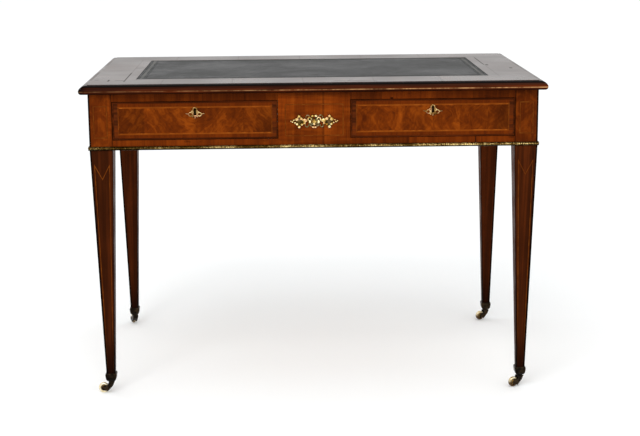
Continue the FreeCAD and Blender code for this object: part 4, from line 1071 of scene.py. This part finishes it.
def tooled_lines(material):
    """Tooled frame on the leather: fine raised lines and two rows of lozenges of changing size."""
    mesh = bmesh.new()
    top = LEATHER_HIGH[2] + TOOL_RISE
    bottom = LEATHER_HIGH[2] - TOOL_SINK

    def strip(inset, half):
        x, y = LEATHER_HIGH[0] - inset, LEATHER_HIGH[1] - inset
        rings = []
        for offset, level in ((-half, bottom), (-half / 2, top), (half / 2, top), (half, bottom)):
            rings.append([mesh.verts.new((sx * (x + offset), sy * (y + offset), level))
                          for sx, sy in ((-1, -1), (1, -1), (1, 1), (-1, 1))])
        for first, second in zip(rings, rings[1:] + rings[:1]):
            bridge(mesh, first, second)

    def stud(x, y, half):
        ring = [mesh.verts.new((x + dx * half, y + dy * half, bottom))
                for dx, dy in ((1, 0), (0, 1), (-1, 0), (0, -1))]
        tip = mesh.verts.new((x, y, top))
        for first, second in zip(ring, ring[1:] + ring[:1]):
            mesh.faces.new((first, second, tip))
        mesh.faces.new(ring)

    for inset, half in TOOLED_LINES:
        strip(inset * MM, half * MM)
    for inset in STAMP_ROWS:
        x, y = LEATHER_HIGH[0] - inset * MM, LEATHER_HIGH[1] - inset * MM
        for reach, other, flip in ((x, y, False), (y, x, True)):
            count = int(2 * reach / STAMP_PITCH)
            for index in range(count):
                run = -reach + 2 * reach * (index + 0.5) / count
                phase = 2 * math.pi * (run - inset * MM) / STAMP_PERIOD
                for side in SIDES.values():
                    spot = (side * other, run) if flip else (run, side * other)
                    stud(*spot, STAMP_HALF + STAMP_SWELL * math.cos(phase))
    piece("leather_tooling", mesh, material, "table", "leather")


# Wood on the nodes
paint(drawer_veneer("drawer_left", -DRAWER_MIDDLE, lean=34, leaf_width=0.113, tones=LEFT_TONES),
      "drawer_left_front")
paint(drawer_veneer("drawer_right", DRAWER_MIDDLE, lean=-38, leaf_width=0.065, tones=RIGHT_TONES),
      "drawer_right_front")
paint(centre_veneer("centre_veneer"), "centre_panel")
paint(panel_veneer("back_veneer", True, leaf_width=0.12, lean=28), "apron_back")
paint(panel_veneer("side_veneer", False, leaf_width=0.11, lean=30), "apron_left", "apron_right")
paint(rail_veneer("upper_rail", board=0.105, left=0.86, right=0.86, marks=UPPER_MARKS), "rail_upper")
paint(rail_veneer("lower_rail", board=0.16, left=1.42, right=0.86, marks=LOWER_MARKS), "rail_lower")
for number, (corner, lights) in enumerate(LEG_LIGHTS.items()):
    paint(leg_wood(f"leg_{corner}", 3 * number, *lights), f"leg_{corner}")
paint(border_wood(), "top_crossbanding")
# Each edge: along x, gloss, colour of the painted reflection in the hollow, and colour at the arris, black on
# the front as a painted shadow line
SIDE_EDGE = (False, 0.5, tint(56, 35, 25), tint(58, 38, 27))
EDGES = {"front": (True, FRONT_GLOSS, tint(54, 33, 23), tint(8, 4, 3)),
         "back": (True, 0.4, tint(54, 33, 23), tint(54, 34, 23)),
         "left": SIDE_EDGE, "right": SIDE_EDGE}
for side, look in EDGES.items():
    paint(moulding_wood(f"moulding_{side}", *look), f"top_moulding_{side}")
paint(leather_hide("leather", LEATHER_GLOSS), "leather_inset")
paint(plain_wood("carcass_pine", PINE, True), "top_core", "glue_blocks", "drawer_stops")
paint(plain_wood("carcass_pine_deep", PINE, False), "runners_left", "runners_right", "kickers")
paint(string_wood("stringing", 0.7), "frame_stringing")

# Drawers and their locks
oak = plain_wood("drawer_oak", OAK, False)
drawer_dress = {
    "sides": oak,
    "bottom": oak,
    "back": plain_wood("drawer_oak_cross", OAK, True),
    "cockbead": plain_wood("cockbead_wood", COCKBEAD, True, FRONT_GLOSS),
    "stringing": string_wood("drawer_stringing", 1.12, upright=0.55),
    "lock": lock_metal("lock_brass", tint(104, 80, 42), tint(150, 120, 68), tint(184, 154, 98)),
    "bolt": lock_metal("bolt_steel", tint(96, 94, 90), tint(140, 138, 132), tint(176, 174, 168)),
}
for side in SIDES:
    for part, material in drawer_dress.items():
        paint(material, f"drawer_{side}_{part}")

# Castors and rounded edges
bronze = bronze_metal("castor_bronze", tint(16, 12, 9), tint(34, 27, 20), tint(66, 52, 36))
paint(bronze, "castor_cups")
for corner in CORNERS:
    paint(bronze, f"castor_{corner}_fork", f"castor_{corner}_axle")
    soften(SMALL_ROUND, f"castor_{corner}_fork")
    turned_wheel(corner)
    soften(LEG_ROUND, f"leg_{corner}")
soften(SMALL_ROUND, "castor_cups", "centre_panel", "rail_upper", "rail_lower")

# Ornament and tooling
gilt = gilding("gilt_mount", tint(150, 112, 44), tint(216, 182, 100), tint(255, 244, 196),
               rose=tint(240, 188, 140), shadow_reach=2.6 * MM)
plate_gilt = gilding("gilt_plates", tint(98, 68, 28), tint(160, 122, 66), tint(212, 182, 126),
                     rose=tint(176, 124, 92), shadow_reach=1.6 * MM)
pearl_brass = pearl_metal("pearl_brass")
cast("mount_cast", mount_relief(), gilt, "table", "gilt_brass", "centre_mount", MOUNT_VOXEL)
for side in SIDES:
    cast(f"escutcheon_cast_{side}", escutcheon_relief(side), plate_gilt, f"drawer_{side}", "gilt_brass",
         f"drawer_{side}_escutcheon", PLATE_VOXEL)
for side in EDGES:
    bead_strip(f"brass_bead_{side}", pearl_brass)
tooled_lines(leather_hide("leather_tooled", TOOLED_GLOSS))

# Stage, light and camera
floor_mesh = bmesh.new()
bmesh.ops.create_grid(floor_mesh, x_segments=2, y_segments=2, size=FLOOR_HALF)
floor_data = bpy.data.meshes.new("floor")
floor_mesh.to_mesh(floor_data)
floor_mesh.free()
floor_data.materials.append(floor_paint())
floor = bpy.data.objects.new("floor", floor_data)
scene.collection.objects.link(floor)

world = bpy.data.worlds.new("studio")
world.use_nodes = True
world.node_tree.nodes["Background"].inputs["Color"].default_value = (1, 1, 1, 1)
world.node_tree.nodes["Background"].inputs["Strength"].default_value = WORLD_STRENGTH
scene.world = world

lamp = bpy.data.lights.new("key", "AREA")
lamp.shape = "RECTANGLE"
lamp.size, lamp.size_y = KEY_SIZE
lamp.energy = KEY_POWER
key = bpy.data.objects.new("key", lamp)
key.location = KEY_PLACE
key.rotation_euler = (Vector(KEY_TARGET) - Vector(KEY_PLACE)).to_track_quat("-Z", "Y").to_euler()
scene.collection.objects.link(key)

camera_data = bpy.data.cameras.new("camera")
camera_data.sensor_width = SENSOR
camera_data.lens = FOCAL_PIXELS / PICTURE_WIDTH * SENSOR
camera = bpy.data.objects.new("camera", camera_data)
turn = Matrix.Rotation(CAMERA_YAW, 3, "Z") @ Matrix.Rotation(CAMERA_PITCH, 3, "X")
turn = turn @ Matrix.Rotation(CAMERA_ROLL, 3, "Y") @ Matrix(((1, 0, 0), (0, 0, -1), (0, 1, 0)))
camera.matrix_world = Matrix.Translation(CAMERA_PLACE) @ turn.to_4x4()
scene.collection.objects.link(camera)
scene.camera = camera
scene.view_settings.view_transform = "Standard"
